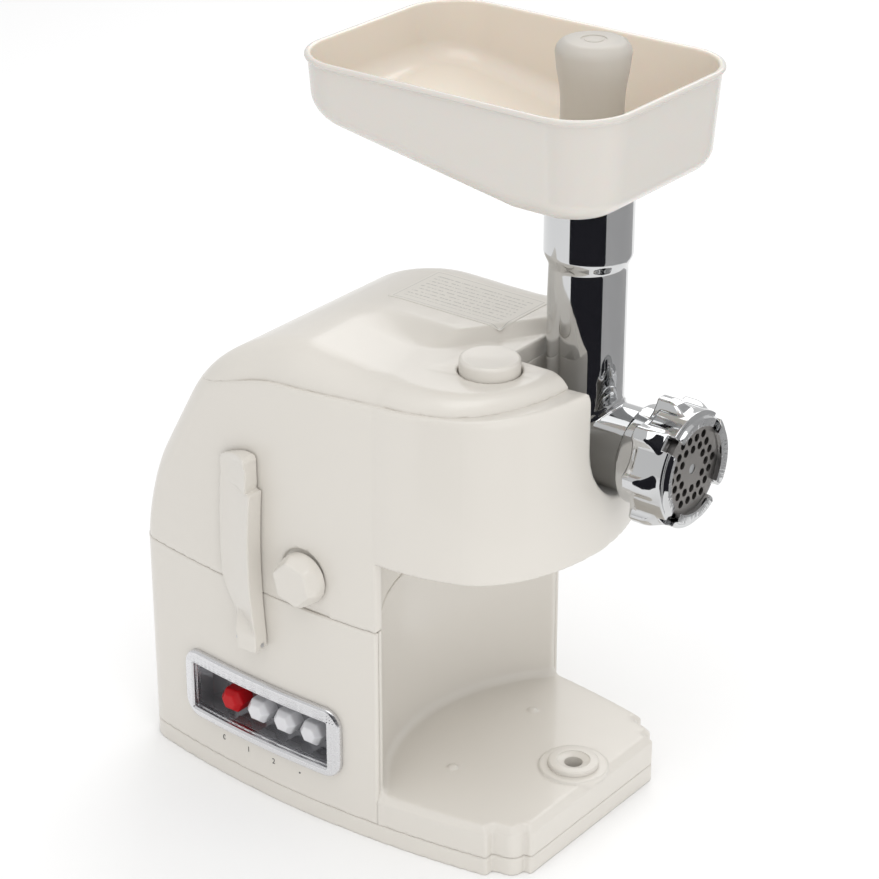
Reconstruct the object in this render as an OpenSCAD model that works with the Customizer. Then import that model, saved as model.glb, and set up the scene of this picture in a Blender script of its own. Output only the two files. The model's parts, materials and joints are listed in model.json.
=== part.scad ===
// Electric meat grinder: a tilting-head kitchen machine with a grinder, tray and pusher fitted.
// Frame: origin on the table under the middle of the body, +X towards the grinder's outlet,
// -Y towards the control panel, +Z up. Millimetres.

/* [Body] */
// Length of the body from end to end
body_l = 287; // [280:1:292]
// Greatest width of the body, across its bowed sides
body_w = 189; // [186:1:192]
// Length of the column behind the bowl bay
column_l = 195; // [192:1:197]
// Wall thickness of the plastic shells
wall = 3; // [2.5:0.25:3.5]
// Height of the seam between base plate and housings
seam_z = 12; // [10:1:14]
// Height of the bay floor
deck_z = 32; // [30:1:34]
// Height of the split between body and tilting head
split_z = 142; // [140:1:144]

/* [Head] */
// Height of the underside of the nose
nose_z = 187; // [185:1:189]
// Height of the ledge where the top cover starts
ledge_z = 284; // [282:1:286]
// Height of the flat on top of the nose
nose_top_z = 297; // [295:1:299]
// Height of the top of the rear block
top_z = 304; // [303:1:306]

/* [Grinder] */
// Height of the grinder's axis
axis_z = 240; // [239:0.5:241]
// Offset of the grinder's axis towards the far side
axis_y = 29.4; // [29:0.1:30]
// Position of the feed tube along the body
tube_x = 109.5; // [109:0.5:110]
// Outer radius of the feed tube
tube_r = 22.7; // [22.5:0.1:22.9]
// Radius of the cutting plate
plate_r = 27; // [26.8:0.1:27.2]
// Outer face of the cutting plate
plate_x = 183.5; // [183:0.5:184]
// Height of the tray's rim
rim_z = 456; // [454:1:458]

/* [Controls] */
// Spacing of the four keys
key_pitch = 20.9; // [20.5:0.1:21.1]
// Height of the keys
key_z = 54; // [53:1:55]

/* [Drive] */
// Teeth on each driving pinion
pinion_teeth = 10; // [10:1:10]
// Teeth on the idler gear
idler_teeth = 70; // [70:1:70]
// Teeth on the output gear
output_teeth = 60; // [60:1:60]
// Distance across the body between the motor axis and the grinder axis
drive_gap = 62; // [61:0.5:62]
// Drop of the motor axis below the grinder axis
drive_drop = 25; // [24:0.5:25]

/* [Hidden] */
$fn = 64;
end_x = body_l / 2;
face_x = column_l - end_x;
half_w = body_w / 2;
eps = 0.01;
big = 400;

// Bowed sides: two large arcs whose crowns lie near the middle of the column
bow_r = 655;
bow_x = -8.5;
end_r = 16;
bay_r = 123;
bay_x = 139.5;
nose_side_r = 140;
nose_corner_r = 40;
corner_step = 6;
step_x = end_x - 20;
fit = 0.05;
seam_gap = 0.4;
boss_x = 118;
boss_y = 36;
foot_xs = [-112, 118];
pivot_x = 124;
pivot_y = 6;
gland_y = 25;
gland_z = 40;

// Hinge of the head, and the rounded rear corner that lets it swing
hinge_r = 14;
hinge_x = -end_x + hinge_r;
hinge_z = split_z + hinge_r;
hinge_pin_r = 4;
lug_y = 44;
lug_t = 6;

// Rear profile of the head: an upright stretch, a straight slope and a large arc into the top
slope_a = 58.5;
slope_x = -137;
slope_z = 182;
hump_r = 108;
knee_r = 24;

// Trough in the nose that holds the grinder
trough_x = 84.5;
trough_y = -12;
trough_r = axis_y - trough_y;
trough_z = 255;

// Drive line: motor, idler and output lie on one slanting line
motor_y = axis_y - drive_gap;
motor_z = axis_z - drive_drop;
drive_a = atan2(drive_drop, drive_gap);
stage1_m = 0.7;
stage1_d = stage1_m * (pinion_teeth + idler_teeth) / 2;
stage2_d = norm([drive_gap, drive_drop]) - stage1_d;
stage2_m = 2 * stage2_d / (pinion_teeth + output_teeth);
idler_y = motor_y + stage1_d * cos(drive_a);
idler_z = motor_z + stage1_d * sin(drive_a);
backlash = 0.3;
pressure = 20;
frame_back_x = -17;
frame_front_x = 8;
frame_t = 3;
frame_y0 = -50;
frame_w = 110;
gear1_x = -12;
gear1_w = 7;
gear2_x = -4.5;
gear2_w = 9.5;
chassis_z = split_z + wall;
shaft_r = 4;
thin_shaft_r = 2.4;
shaft_x0 = -101;
bracket_x = -99;
stator_x = -74;
stator_l = 34;
stator_r = 30;
stator_bore = 18.6;
coil_l = 9;
rotor_r = 18;
fan_x = -29;
spindle_x = 87.5;
spindle_gap = 14;
wheel_r = 7.6;
worm_r = 6;
spindle_top = motor_z + 8;
output_r = 8;
worm_bracket_x = 102;

// Grinder castings
barrel_x0 = trough_x + 1;
barrel_r = 25;
barrel_bore = 22.5;
flange_x = 150;
flange_r = 29.4;
seat_x = plate_x - 6;
seat_r = plate_r + 0.5;
flare_r = 25.5;
flare_z = 355;
tube_top = 393.5;
tube_bore = tube_r - 2;
square_side = 9;

// Ring nut
ring_x0 = 161;
ring_x1 = 185;
ring_r = 32.8;
lobe_r = 39;
lobe_len = 10;
lobes = 8;
ring_mouth_r = 26;

// Feed tray
tray_l = 213;
tray_w = 153;
tray_x = 55.5;
tray_y = 30.5;
tray_wall = 2.2;
tray_corner_r = 36;
tray_low_z = 395.5;
tray_high_z = 422;
spout_r = flare_r - 1.9;
spout_bore = 21.6;

// Lever, release knob, eject button
lever_x0 = -61.5;
lever_x1 = -28.5;
lever_z0 = 106;
lever_z1 = 234;
lever_end_r = 4;
lever_pin_z = lever_z0 + lever_end_r;
lever_pin_y = -half_w - 4.8;
lever_lug_x = -40;
knob_x = 1.5;
knob_z = 164;
knob_r = 16;
knob_t = 13;
button_x = spindle_x;
button_r = 17.5;
button_top = 305;
button_skirt_z = nose_top_z - 11;
spring_z0 = nose_top_z - 17;
spring_z1 = nose_top_z;
crossbar_z = spindle_top + 3;

// Control window
bezel_x0 = -100;
bezel_x1 = 27;
bezel_z0 = 35;
bezel_z1 = 81.5;
window_x0 = -92.5;
window_x1 = 17;
window_z0 = 41;
window_z1 = 72;
well_depth = 16;
key_x0 = -64.5;

// ---- Shared outlines ----

function spoke(r, a) = [r * cos(a), r * sin(a)];

// Strip between the two bowed sides, drawn in by i
module bowed(i = 0) {
  intersection_for (s = [-1, 1])
    translate([bow_x, s * (bow_r - half_w)]) circle(bow_r - i, $fn = 360);
}

// Column outline: rounded rear corners, bowed sides, cut square at x1
module column_plan(i = 0, x1 = face_x) {
  intersection() {
    bowed(i);
    union() {
      translate([-end_x + end_r, -big]) square([x1 + end_x - end_r, 2 * big]);
      translate([-end_x + i, -half_w + end_r + 10]) square([end_r, body_w - 2 * end_r - 20]);
      for (s = [-1, 1])
        translate([-end_x + end_r, s * (half_w - end_r - 10)]) circle(end_r - i);
      translate([-end_x + end_r - eps, -half_w + end_r + 10]) square([end_r, body_w - 2 * end_r - 20]);
      for (s = [-1, 1])
        translate([-end_x + end_r, s * (half_w - end_r - 10) - end_r + i]) square([end_r, 2 * end_r - 2 * i]);
    }
  }
}

// Nose outline in front of the column: long side arcs and tighter corner arcs
module nose_plan(i = 0) {
  side_y = nose_side_r - (half_w - 2.6);
  corner_x = end_x - nose_corner_r;
  reach = nose_side_r - nose_corner_r;
  corner_y = sqrt(reach * reach - pow(corner_x - face_x, 2)) - side_y;
  tangent_x = face_x + (corner_x - face_x) * nose_side_r / reach;
  intersection() {
    translate([face_x - eps, -big]) square([tangent_x - face_x, 2 * big]);
    intersection_for (s = [-1, 1])
      translate([face_x, s * side_y]) circle(nose_side_r - i, $fn = 180);
  }
  for (s = [-1, 1])
    translate([corner_x, s * corner_y]) circle(nose_corner_r - i);
  translate([corner_x, -corner_y]) square([nose_corner_r - i, 2 * corner_y]);
}

// Base outline: bowed sides with stepped corners at the bay end
module base_plan(i = 0) {
  column_plan(i, step_x - i);
  intersection() {
    bowed(i + corner_step);
    union() {
      translate([0, -half_w]) square([end_x - 5 - 6, body_w]);
      translate([0, -66 + i]) square([end_x - 5 - i, 132 - 2 * i]);
      for (s = [-1, 1])
        translate([end_x - 11, s * 68]) circle(6 - i);
    }
  }
  translate([0, -64 + i]) square([end_x - i, 128 - 2 * i]);
}

// Side profile of the head in X and Z, as a solid across the full width
module head_profile(i = 0) {
  dx = cos(slope_a);
  dz = sin(slope_a);
  arc_z = top_z - hump_r;
  arc_x = slope_x + (arc_z - slope_z) * dx / dz + hump_r / dz;
  knee_x = -end_x + knee_r;
  knee_z = slope_z - 4;
  upright = [for (a = [180 : 10 : 270]) [hinge_x, hinge_z] + spoke(hinge_r - i, a)];
  hump = [for (a = [90 : 4 : 90 + slope_a]) [arc_x, arc_z] + spoke(hump_r - i, a)];
  knee = [for (a = [90 + slope_a : 6 : 180]) [knee_x, knee_z] + spoke(knee_r - i, a)];
  rotate([90, 0, 0]) translate([0, 0, -big / 2]) linear_extrude(big)
    polygon(concat([[end_x + 1, top_z - i]], hump, knee, upright,
                   [[hinge_x, split_z - i], [end_x + 1, split_z - i]]));
}

// Space kept free above the nose's shelf for the grinder
module trough(i = 0) {
  translate([trough_x - i, trough_y - i, trough_z]) cube([big, big, big]);
  translate([trough_x - i, axis_y, trough_z]) rotate([0, 90, 0]) cylinder(r = trough_r + i, h = big);
  translate([trough_x - i, axis_y, trough_z - trough_r - i]) cube([big, big, big]);
}

// Straight solids of revolution along the machine's length
module along_x(x, y, z) {
  translate([x, y, z]) rotate([90, 0, 90]) children();
}

module rod_x(x0, x1, y, z, r) {
  along_x(x0, y, z) cylinder(r = r, h = x1 - x0);
}

module ring_x(x0, x1, y, z, r, bore) {
  along_x(x0, y, z) difference() {
    cylinder(r = r, h = x1 - x0);
    translate([0, 0, -1]) cylinder(r = bore, h = x1 - x0 + 2);
  }
}

// Involute tooth flanks: half the tooth angle at radius r
function inv_deg(a) = tan(a) * 180 / PI - a;
function half_tooth(r, rb, rp, teeth) =
  90 / teeth + inv_deg(pressure) - inv_deg(acos(min(1, rb / r))) - backlash / (4 * rp) * 180 / PI;

module gear_2d(teeth, m) {
  rp = m * teeth / 2;
  rb = rp * cos(pressure);
  root = rp - 1.1 * m;
  radii = [root, max(rb, root + 0.1 * m), rp, rp + 0.8 * m];
  flank = [for (r = radii) half_tooth(max(r, rb), rb, rp, teeth)];
  polygon([for (t = [0 : teeth - 1])
    for (k = [0 : 7])
      let (j = k < 4 ? k : 7 - k, side = k < 4 ? -1 : 1)
        spoke(radii[j], t * 360 / teeth + side * flank[j])]);
}

// ---- Base and lower body ----

module base_plate() {
  color("ivory") difference() {
    linear_extrude(seam_z) base_plan();
    translate([0, 0, wall]) linear_extrude(seam_z) base_plan(wall);
    for (x = foot_xs, s = [-1, 1])
      translate([x, s * 58, -1]) cylinder(r = 9, h = 2.5);
    for (x = foot_xs, s = [-1, 1])
      translate([x, s * boss_y, -1]) cylinder(r = 2.2, h = wall + 2);
    for (x = [-80 : 12 : -20])
      translate([x, -30, -1]) cube([4, 60, wall + 2]);
  }
}

module rubber_feet() {
  color("dimgray")
    for (x = foot_xs, s = [-1, 1])
      translate([x, s * 58, 0]) cylinder(r = 9, h = 1.5);
}

module base_screws() {
  color("silver")
    for (x = foot_xs, s = [-1, 1])
      translate([x, s * boss_y, 0.6]) difference() {
        cylinder(r = 2.2, h = 16);
        translate([-1.8, -0.4, -1]) cube([3.6, 0.8, 2]);
      }
}

// Bay floor and its skirt, with a stepped edge
module bay_floor() {
  boss_h = deck_z - seam_z - 5;
  color("ivory") difference() {
    union() {
      difference() {
        union() {
          translate([0, 0, seam_z]) linear_extrude(deck_z - seam_z - 3) difference() {
            base_plan();
            column_plan(-eps, face_x);
          }
          for (k = [0 : 3])
            translate([0, 0, deck_z - 3 + 0.75 * k]) linear_extrude(0.75) intersection() {
              base_plan(1 + k);
              translate([face_x, -big]) square([big, 2 * big]);
            }
          translate([0, 0, deck_z - 6]) linear_extrude(6) intersection() {
            column_plan(wall, face_x + eps);
            translate([bay_x, 0]) circle(bay_r, $fn = 180);
          }
        }
        // Hollow under the floor
        translate([0, 0, seam_z - 1]) linear_extrude(boss_h) intersection() {
          base_plan(wall);
          translate([face_x + wall, -big]) square([big, 2 * big]);
        }
      }
      for (s = [-1, 1])
        translate([boss_x, s * boss_y, seam_z]) cylinder(r = 5, h = boss_h);
      for (s = [-1, 1])
        translate([67.5, s * 41 + 1.5, deck_z - eps]) cylinder(r1 = 3.5, r2 = 2, h = 1.4);
      translate([pivot_x, pivot_y, deck_z - eps]) cylinder(r = 21, h = 1.6);
    }
    translate([pivot_x, pivot_y, 0]) cylinder(r = 9, h = big);
    for (s = [-1, 1])
      translate([boss_x, s * boss_y, 0]) cylinder(r = 2.2, h = 17);
  }
}

// Wall that curves round the bowl, with a flat post at each end, from z0 to z1
module curved_wall(z0, z1) {
  translate([0, 0, z0]) linear_extrude(z1 - z0) difference() {
    column_plan(wall, face_x);
    translate([bay_x, 0]) circle(bay_r, $fn = 180);
    difference() {
      column_plan(-eps, face_x - wall);
      translate([bay_x, 0]) circle(bay_r + wall, $fn = 180);
    }
  }
}

module bay_wall() {
  color("ivory") curved_wall(seam_z, split_z - seam_gap);
}

module column_shell() {
  lug_cut = lug_t + 0.6;
  window_l = window_x1 - window_x0 + 6;
  window_h = window_z1 - window_z0 + 6;
  color("ivory") difference() {
    union() {
      difference() {
        translate([0, 0, seam_z]) linear_extrude(split_z - seam_gap - seam_z) column_plan();
        translate([0, 0, seam_z - 1]) linear_extrude(big) column_plan(wall, face_x + 1);
      }
      // Closed top under the head's rounded rear corner
      translate([0, 0, split_z - seam_gap - wall]) linear_extrude(wall) column_plan(0, -end_x + 30);
      // Lug for the side lever
      translate([lever_lug_x, lever_pin_y, lever_pin_z]) rotate([0, 90, 0]) cylinder(r = 3.6, h = 6);
      translate([lever_lug_x, lever_pin_y, lever_pin_z - 3.6]) cube([6, 8, 7.2]);
    }
    for (s = [-1, 1])
      translate([hinge_x - 9, s * (lug_y + lug_t / 2) - lug_cut / 2, 100]) cube([18, lug_cut, 60]);
    translate([lever_lug_x - 1, lever_pin_y, lever_pin_z]) rotate([0, 90, 0])
      cylinder(r = 1.5 + fit, h = 8);
    // Opening behind the control window
    translate([window_x0 - 3, -big, window_z0 - 3]) cube([window_l, big, window_h]);
    // Cable inlet and vents at the rear
    translate([-end_x - 1, gland_y, gland_z]) rotate([0, 90, 0]) cylinder(r = 6, h = 2 * wall);
    for (z = [70 : 8 : 118])
      translate([-end_x - 1, -28, z]) cube([2 * wall, 56, 3]);
  }
}

module bowl_pivot() {
  color("ivory") translate([pivot_x, pivot_y, 0]) difference() {
    union() {
      translate([0, 0, deck_z + 1.6]) cylinder(r = 15.4, h = 3);
      translate([0, 0, seam_z + 8]) cylinder(r = 9, h = deck_z - seam_z - 6);
    }
    translate([0, 0, seam_z + 11]) cylinder(r = 5.5, h = 60);
  }
}

module hinge_bracket() {
  color("silver") for (s = [-1, 1])
    translate([hinge_x, s * (lug_y + lug_t / 2) + lug_t / 2, 0]) rotate([90, 0, 0]) difference() {
      union() {
        translate([-8, wall, 0]) cube([16, hinge_z - wall, lug_t]);
        translate([0, hinge_z, 0]) cylinder(r = 8, h = lug_t);
        translate([-8, wall, 0]) cube([26, 10, lug_t]);
      }
      translate([0, hinge_z, -1]) cylinder(r = hinge_pin_r + fit, h = lug_t + 2);
    }
}

module cable_gland() {
  color("dimgray") translate([-end_x - 4, gland_y, gland_z]) rotate([0, 90, 0]) difference() {
    union() {
      cylinder(r = 8, h = 4);
      cylinder(r = 6, h = 4 + wall);
      translate([0, 0, 4 + wall]) cylinder(r = 8, h = 3);
    }
    translate([0, 0, -1]) cylinder(r = 3.6, h = 20);
  }
}

// ---- Controls ----

module rounded_rect(x0, x1, z0, z1, r) {
  for (x = [x0 + r, x1 - r], z = [z0 + r, z1 - r])
    translate([x, z]) circle(r);
  translate([x0 + r, z0]) square([x1 - x0 - 2 * r, z1 - z0]);
  translate([x0, z0 + r]) square([x1 - x0, z1 - z0 - 2 * r]);
}

// Extrudes an X-Z outline from y0 towards the rear to y1
module across(y0, y1) {
  translate([0, y1, 0]) rotate([90, 0, 0]) linear_extrude(y1 - y0) children();
}

// A layer of the bezel that follows the bowed side: from off0 outside it to off1 inside it
module panel_layer(off0, off1) {
  intersection() {
    across(-half_w - 20, -half_w + 40) children();
    translate([0, 0, -1]) linear_extrude(big) difference() {
      bowed(-off0);
      bowed(off1);
    }
  }
}

module window(grow = 0) {
  translate([window_x0 - grow, window_z0 - grow])
    square([window_x1 - window_x0 + 2 * grow, window_z1 - window_z0 + 2 * grow]);
}

module control_bezel() {
  color("silver") {
    panel_layer(4, 0) difference() {
      rounded_rect(bezel_x0, bezel_x1, bezel_z0, bezel_z1, 12);
      window();
    }
    panel_layer(eps, wall) difference() {
      window(3);
      window();
    }
  }
}

module key_outline(x, grow = 0) {
  w = 8.6 + grow;
  h = 7.4 + grow;
  translate([x, key_z])
    polygon([[-w, 0], [-w * 0.55, -h], [w * 0.55, -h], [w, 0], [w * 0.55, h], [-w * 0.55, h]]);
}

module key_well() {
  color("dimgray") difference() {
    panel_layer(-wall, well_depth) window(2);
    panel_layer(-wall + eps, well_depth - 2) window();
    for (k = [0 : 3])
      across(-half_w, -half_w + 40) key_outline(key_x0 + k * key_pitch, 0.4);
  }
}

// Gem-shaped key: a six-sided stem with a low faceted crown
module key(k) {
  x = key_x0 + k * key_pitch;
  front = -half_w + 2.5;
  across(front + 4, -half_w + well_depth + 4) key_outline(x);
  hull() {
    across(front + 3.9, front + 4) key_outline(x);
    across(front, front + 0.1) key_outline(x, -3.4);
  }
  across(-half_w + well_depth + 4, -half_w + well_depth + 12) translate([x - 3, key_z - 3]) square([6, 6]);
}

module off_key() { color("red") key(0); }
module speed_1_key() { color("white") key(1); }
module speed_2_key() { color("white") key(2); }
module pulse_key() { color("white") key(3); }

module switch_block() {
  y0 = -half_w + well_depth + 11;
  color("dimgray") difference() {
    translate([window_x0 + 6, y0, wall]) cube([94, 20, 68]);
    for (k = [0 : 3])
      translate([key_x0 + k * key_pitch - 3.2, y0 - 1, key_z - 3.2]) cube([6.4, 13, 6.4]);
  }
}

module circuit_breaker() {
  color("saddlebrown") {
    translate([-96, -40, wall]) cube([22, 30, 34]);
    for (s = [0, 1])
      translate([-89 + 10 * s, -28, wall + 34]) cube([0.8, 6, 8]);
  }
}

// Side lever: a wing that rises towards its front edge, with a finger gap behind the lip
module lock_lever() {
  bend_r = 330;
  wing = [[lever_x0, 0], [lever_x1, 0], [lever_x1, -13.5], [lever_x1 - 4, -14.5], [lever_x0 + 6, -3]];
  color("ivory") difference() {
    intersection() {
      translate([0, -half_w - 0.3, lever_z0]) linear_extrude(lever_z1 - lever_z0) polygon(wing);
      translate([0, -half_w + bend_r - 14.4, 170]) rotate([0, 90, 0])
        translate([0, 0, -big / 2]) cylinder(r = bend_r, h = big, $fn = 360);
      union() {
        translate([-big, -big, lever_pin_z]) cube([2 * big, 2 * big, big]);
        translate([-big / 2, lever_pin_y, lever_pin_z]) rotate([0, 90, 0]) cylinder(r = lever_end_r, h = big);
      }
    }
    translate([lever_x1 - 9, -half_w - 9, 211]) cube([10, 10, 12]);
    translate([lever_lug_x - 0.5, -big, lever_z0 - 1]) cube([7, 2 * big, 2 * lever_end_r + 1.8]);
    translate([lever_x0, lever_pin_y, lever_pin_z]) rotate([0, 90, 0]) cylinder(r = 1.5, h = 60);
  }
}

module lever_pin() {
  color("silver") translate([lever_lug_x - 8, lever_pin_y, lever_pin_z]) rotate([0, 90, 0])
    cylinder(r = 1.5, h = lever_x1 - lever_lug_x + 8);
}

// ---- Tilting head ----

module head_solid(i) {
  over = i > 0 ? 1 : 0;
  difference() {
    intersection() {
      union() {
        translate([0, 0, split_z - over]) linear_extrude(ledge_z - split_z + 2 * over) difference() {
          column_plan(i, face_x - i);
          translate([bay_x, 0]) circle(bay_r + i, $fn = 180);
        }
        translate([0, 0, nose_z + i]) linear_extrude(ledge_z - nose_z - i + over) {
          column_plan(i, face_x + 1);
          nose_plan(i);
        }
      }
      head_profile(i);
    }
    trough(i);
  }
}

// Plan of the head inside its outer walls, in front of the column's face and behind it
module head_inner_plan() {
  column_plan(wall, face_x + eps);
  nose_plan(wall);
}

module head_shell() {
  color("ivory") difference() {
    head_solid(0);
    head_solid(wall);
    translate([0, 0, split_z - 1]) linear_extrude(nose_z + wall - split_z + 1) difference() {
      head_inner_plan();
      translate([-big, -big]) square([big + hinge_x + hinge_r, 2 * big]);
    }
    // Way through for the grinder's drive socket
    rod_x(trough_x - 5, trough_x + 5, axis_y, axis_z, 13);
    // Room for the hinge brackets as the head tilts
    for (s = [-1, 1])
      translate([hinge_x, s * (lug_y + lug_t / 2) + lug_t / 2 + 0.4, hinge_z]) rotate([90, 0, 0])
        intersection() {
          cylinder(r = hinge_r + 2, h = lug_t + 0.8);
          translate([-20, -20, -1]) cube([40, 18, lug_t + 3]);
        }
    // Room for the eject button's cup
    translate([button_x, motor_y, nose_top_z - 20.3]) cylinder(r = button_r + 3.3, h = 30);
    // Shaft of the release knob
    translate([knob_x, -half_w - 5, knob_z]) rotate([-90, 0, 0]) cylinder(r = 5.05, h = 20);
  }
}

// Curved wall above the bay, with a slot near its near post
module head_bay_wall() {
  color("ivory") difference() {
    curved_wall(split_z, nose_z);
    translate([face_x - 18, -82, split_z + 4]) cube([20, 9, 34]);
  }
}

// Underside of the nose
module nose_floor() {
  color("ivory") difference() {
    translate([0, 0, nose_z]) linear_extrude(wall) difference() {
      head_inner_plan();
      difference() {
        column_plan(-eps, face_x - wall);
        translate([bay_x, 0]) circle(bay_r + wall, $fn = 180);
      }
    }
    for (s = [-1, 1])
      translate([spindle_x, motor_y + s * spindle_gap, nose_z - 1]) cylinder(r = 6, h = 2 * wall);
  }
}

module cover_solid(i) {
  shoulder = 22;
  over = i > 0 ? 1 : 0;
  difference() {
    intersection() {
      translate([0, 0, ledge_z - over]) linear_extrude(60) {
        column_plan(2 + i, face_x + 1);
        nose_plan(2 + i);
      }
      head_profile(i);
      // Rounded shoulders along both sides
      rotate([90, 0, 90]) translate([0, 0, -big / 2]) linear_extrude(big) {
        for (s = [-1, 1])
          translate([s * (half_w - 3 - shoulder), top_z - shoulder]) circle(shoulder - i);
        translate([-half_w + 3 + shoulder, 0]) square([body_w - 6 - 2 * shoulder, top_z - i]);
        translate([-half_w + 3 + i, 0]) square([body_w - 6 - 2 * i, top_z - shoulder]);
      }
    }
    // Lower flat on top of the nose, with slopes up to the rear block
    intersection() {
      across(-big, big)
        polygon([[-30, top_z - i], [20, nose_top_z - i], [big, nose_top_z - i], [big, big], [-30, big]]);
      rotate([90, 0, 90]) translate([0, 0, -big]) linear_extrude(2 * big)
        polygon([[-big, nose_top_z - i], [-14, nose_top_z - i], [-2, top_z - i], [-2, big], [-big, big]]);
    }
    // Ledge around the nose, widening towards its end
    translate([0, 0, ledge_z + 4 - i]) linear_extrude(big) difference() {
      translate([face_x - 12, -big / 2]) square(big);
      translate([-12, 0]) nose_plan(2 + i);
    }
    trough(i);
  }
}

module top_cover() {
  color("ivory") difference() {
    cover_solid(0);
    cover_solid(wall);
    translate([button_x, motor_y, ledge_z - 20]) cylinder(r = button_r + 0.6, h = 60);
  }
  color("ivory") translate([button_x, motor_y, nose_top_z - 20]) difference() {
    cylinder(r = button_r + 3, h = 19);
    translate([0, 0, 3]) cylinder(r = button_r + 0.6, h = 20);
    translate([0, 0, -1]) cylinder(r = 4.3, h = 20);
  }
}

module label_panel() {
  color("white") translate([-14, 4, top_z]) cube([82, 48, 0.4]);
}

module head_chassis() {
  color("silver") difference() {
    union() {
      translate([0, 0, split_z]) linear_extrude(wall) difference() {
        column_plan(wall + 0.1, face_x - wall - 0.1);
        translate([bay_x, 0]) circle(bay_r + wall + 0.1, $fn = 180);
        translate([-big, -big]) square([big - end_x + 28, 2 * big]);
      }
      for (s = [-1, 1])
        translate([hinge_x, s * (lug_y + lug_t + 4), 0]) rotate([90, 0, 0]) translate([0, 0, -3]) {
          translate([0, hinge_z, 0]) cylinder(r = 10, h = 6);
          translate([0, split_z, 0]) cube([28, 20, 6]);
        }
    }
    translate([hinge_x, -70, hinge_z]) rotate([-90, 0, 0]) cylinder(r = hinge_pin_r, h = 140);
  }
}

module hinge_pin() {
  color("silver") translate([hinge_x, -60, hinge_z]) rotate([-90, 0, 0]) cylinder(r = hinge_pin_r, h = 120);
}

module release_knob() {
  color("ivory") translate([knob_x, 0, knob_z]) rotate([90, 0, 0]) {
    translate([0, 0, half_w + 0.3]) difference() {
      cylinder(r = knob_r, h = knob_t, $fn = 96);
      for (a = [0 : 60 : 300])
        rotate([0, 0, a + 15]) translate([knob_r - 1, -knob_r, 6]) rotate([0, -24, 0])
          cube([12, 2 * knob_r, 20]);
    }
    translate([0, 0, half_w - 10]) cylinder(r = 5, h = 10.4);
  }
}

module latch_cam() {
  color("silver") translate([knob_x, -half_w + 14, knob_z]) rotate([90, 0, 0]) {
    cylinder(r = 9, h = 4);
    translate([0, -5, 0]) cube([16, 10, 4]);
  }
}

module eject_button() {
  color("white") translate([button_x, motor_y, 0]) difference() {
    union() {
      translate([0, 0, button_skirt_z]) cylinder(r = button_r, h = button_top - button_skirt_z - 2);
      translate([0, 0, button_top - 2]) cylinder(r1 = button_r, r2 = button_r - 2, h = 2);
      translate([0, 0, crossbar_z]) cylinder(r = 4.2, h = button_skirt_z - crossbar_z);
      translate([-4, -spindle_gap - 5, crossbar_z]) cube([8, 2 * spindle_gap + 10, 4.1]);
    }
    translate([0, 0, button_skirt_z - 1]) difference() {
      cylinder(r = button_r - 2, h = spring_z1 - button_skirt_z + 1);
      cylinder(r = 4.2, h = 20);
    }
  }
}

// Coil of round wire, swept as one closed tube
module coil(r, wire, length, turns) {
  rings = 14 * turns;
  sides = 6;
  points = [for (i = [0 : rings])
    let (a = 360 * turns * i / rings, z = wire + (length - 2 * wire) * i / rings)
      for (j = [0 : sides - 1])
        let (b = 360 * j / sides)
          [(r + wire * cos(b)) * cos(a), (r + wire * cos(b)) * sin(a), z + wire * sin(b)]];
  walls = [for (i = [0 : rings - 1])
    for (j = [0 : sides - 1])
      let (k = (j + 1) % sides, p = i * sides, q = p + sides)
        [p + j, q + j, q + k, p + k]];
  polyhedron(points, concat(walls, [[for (j = [0 : sides - 1]) j]],
                            [[for (j = [sides - 1 : -1 : 0]) rings * sides + j]]));
}

module eject_spring() {
  color("silver") translate([button_x, motor_y, spring_z0]) coil(8, 0.8, spring_z1 - spring_z0, 5);
}

// ---- Motor and gears ----

module motor_frame() {
  stator_end = stator_x + stator_l;
  color("silver") difference() {
    union() {
      translate([bracket_x, motor_y - 26, chassis_z]) cube([3, 52, motor_z + 16 - chassis_z]);
      translate([bracket_x, motor_y - 26, chassis_z]) cube([stator_end - bracket_x, 52, 3]);
      for (x = [stator_x + 2, stator_end - 10])
        translate([x, motor_y - 22, chassis_z]) cube([8, 44, motor_z - chassis_z - 12]);
    }
    rod_x(stator_x - 12, stator_end + 20, motor_y, motor_z, stator_r);
    rod_x(bracket_x - 1, bracket_x + 4, motor_y, motor_z, 8);
  }
}

module motor_stator() {
  color("gray") ring_x(stator_x, stator_x + stator_l, motor_y, motor_z, stator_r, stator_bore);
}

module stator_coils() {
  color("darkorange") for (x = [stator_x - coil_l, stator_x + stator_l])
    ring_x(x, x + coil_l, motor_y, motor_z, 28, 19.5);
}

module brush_holders() {
  color("goldenrod") for (s = [-1, 1])
    translate([bracket_x + 3, motor_y + (s > 0 ? 10.3 : -22.3), motor_z - 4]) cube([11, 12, 8]);
}

module armature() {
  color("gray") along_x(stator_x + 1, motor_y, motor_z) difference() {
    cylinder(r = rotor_r, h = stator_l - 2);
    for (k = [0 : 11])
      rotate([0, 0, 30 * k]) translate([rotor_r - 4, -1, -1]) cube([6, 2, stator_l]);
    translate([0, 0, -1]) cylinder(r = shaft_r, h = stator_l);
  }
}

module commutator() {
  color("goldenrod") ring_x(bracket_x + 5, bracket_x + 14, motor_y, motor_z, 10, shaft_r);
}

// Motor shaft with the first pinion and the worm that drives the beater spindles
module drive_shaft() {
  color("silver") {
    rod_x(shaft_x0, gear1_x, motor_y, motor_z, shaft_r);
    rod_x(gear1_x, worm_bracket_x + 4, motor_y, motor_z, thin_shaft_r);
    along_x(gear1_x - 1, motor_y, motor_z) rotate([0, 0, drive_a]) linear_extrude(gear1_w + 2)
      gear_2d(pinion_teeth, stage1_m);
    difference() {
      rod_x(spindle_x - 9, spindle_x + 9, motor_y, motor_z, worm_r);
      for (x = [spindle_x - 7.4 : 3.2 : spindle_x + 6])
        ring_x(x, x + 1.6, motor_y, motor_z, worm_r + 1, worm_r - 1.4);
    }
  }
}

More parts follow.
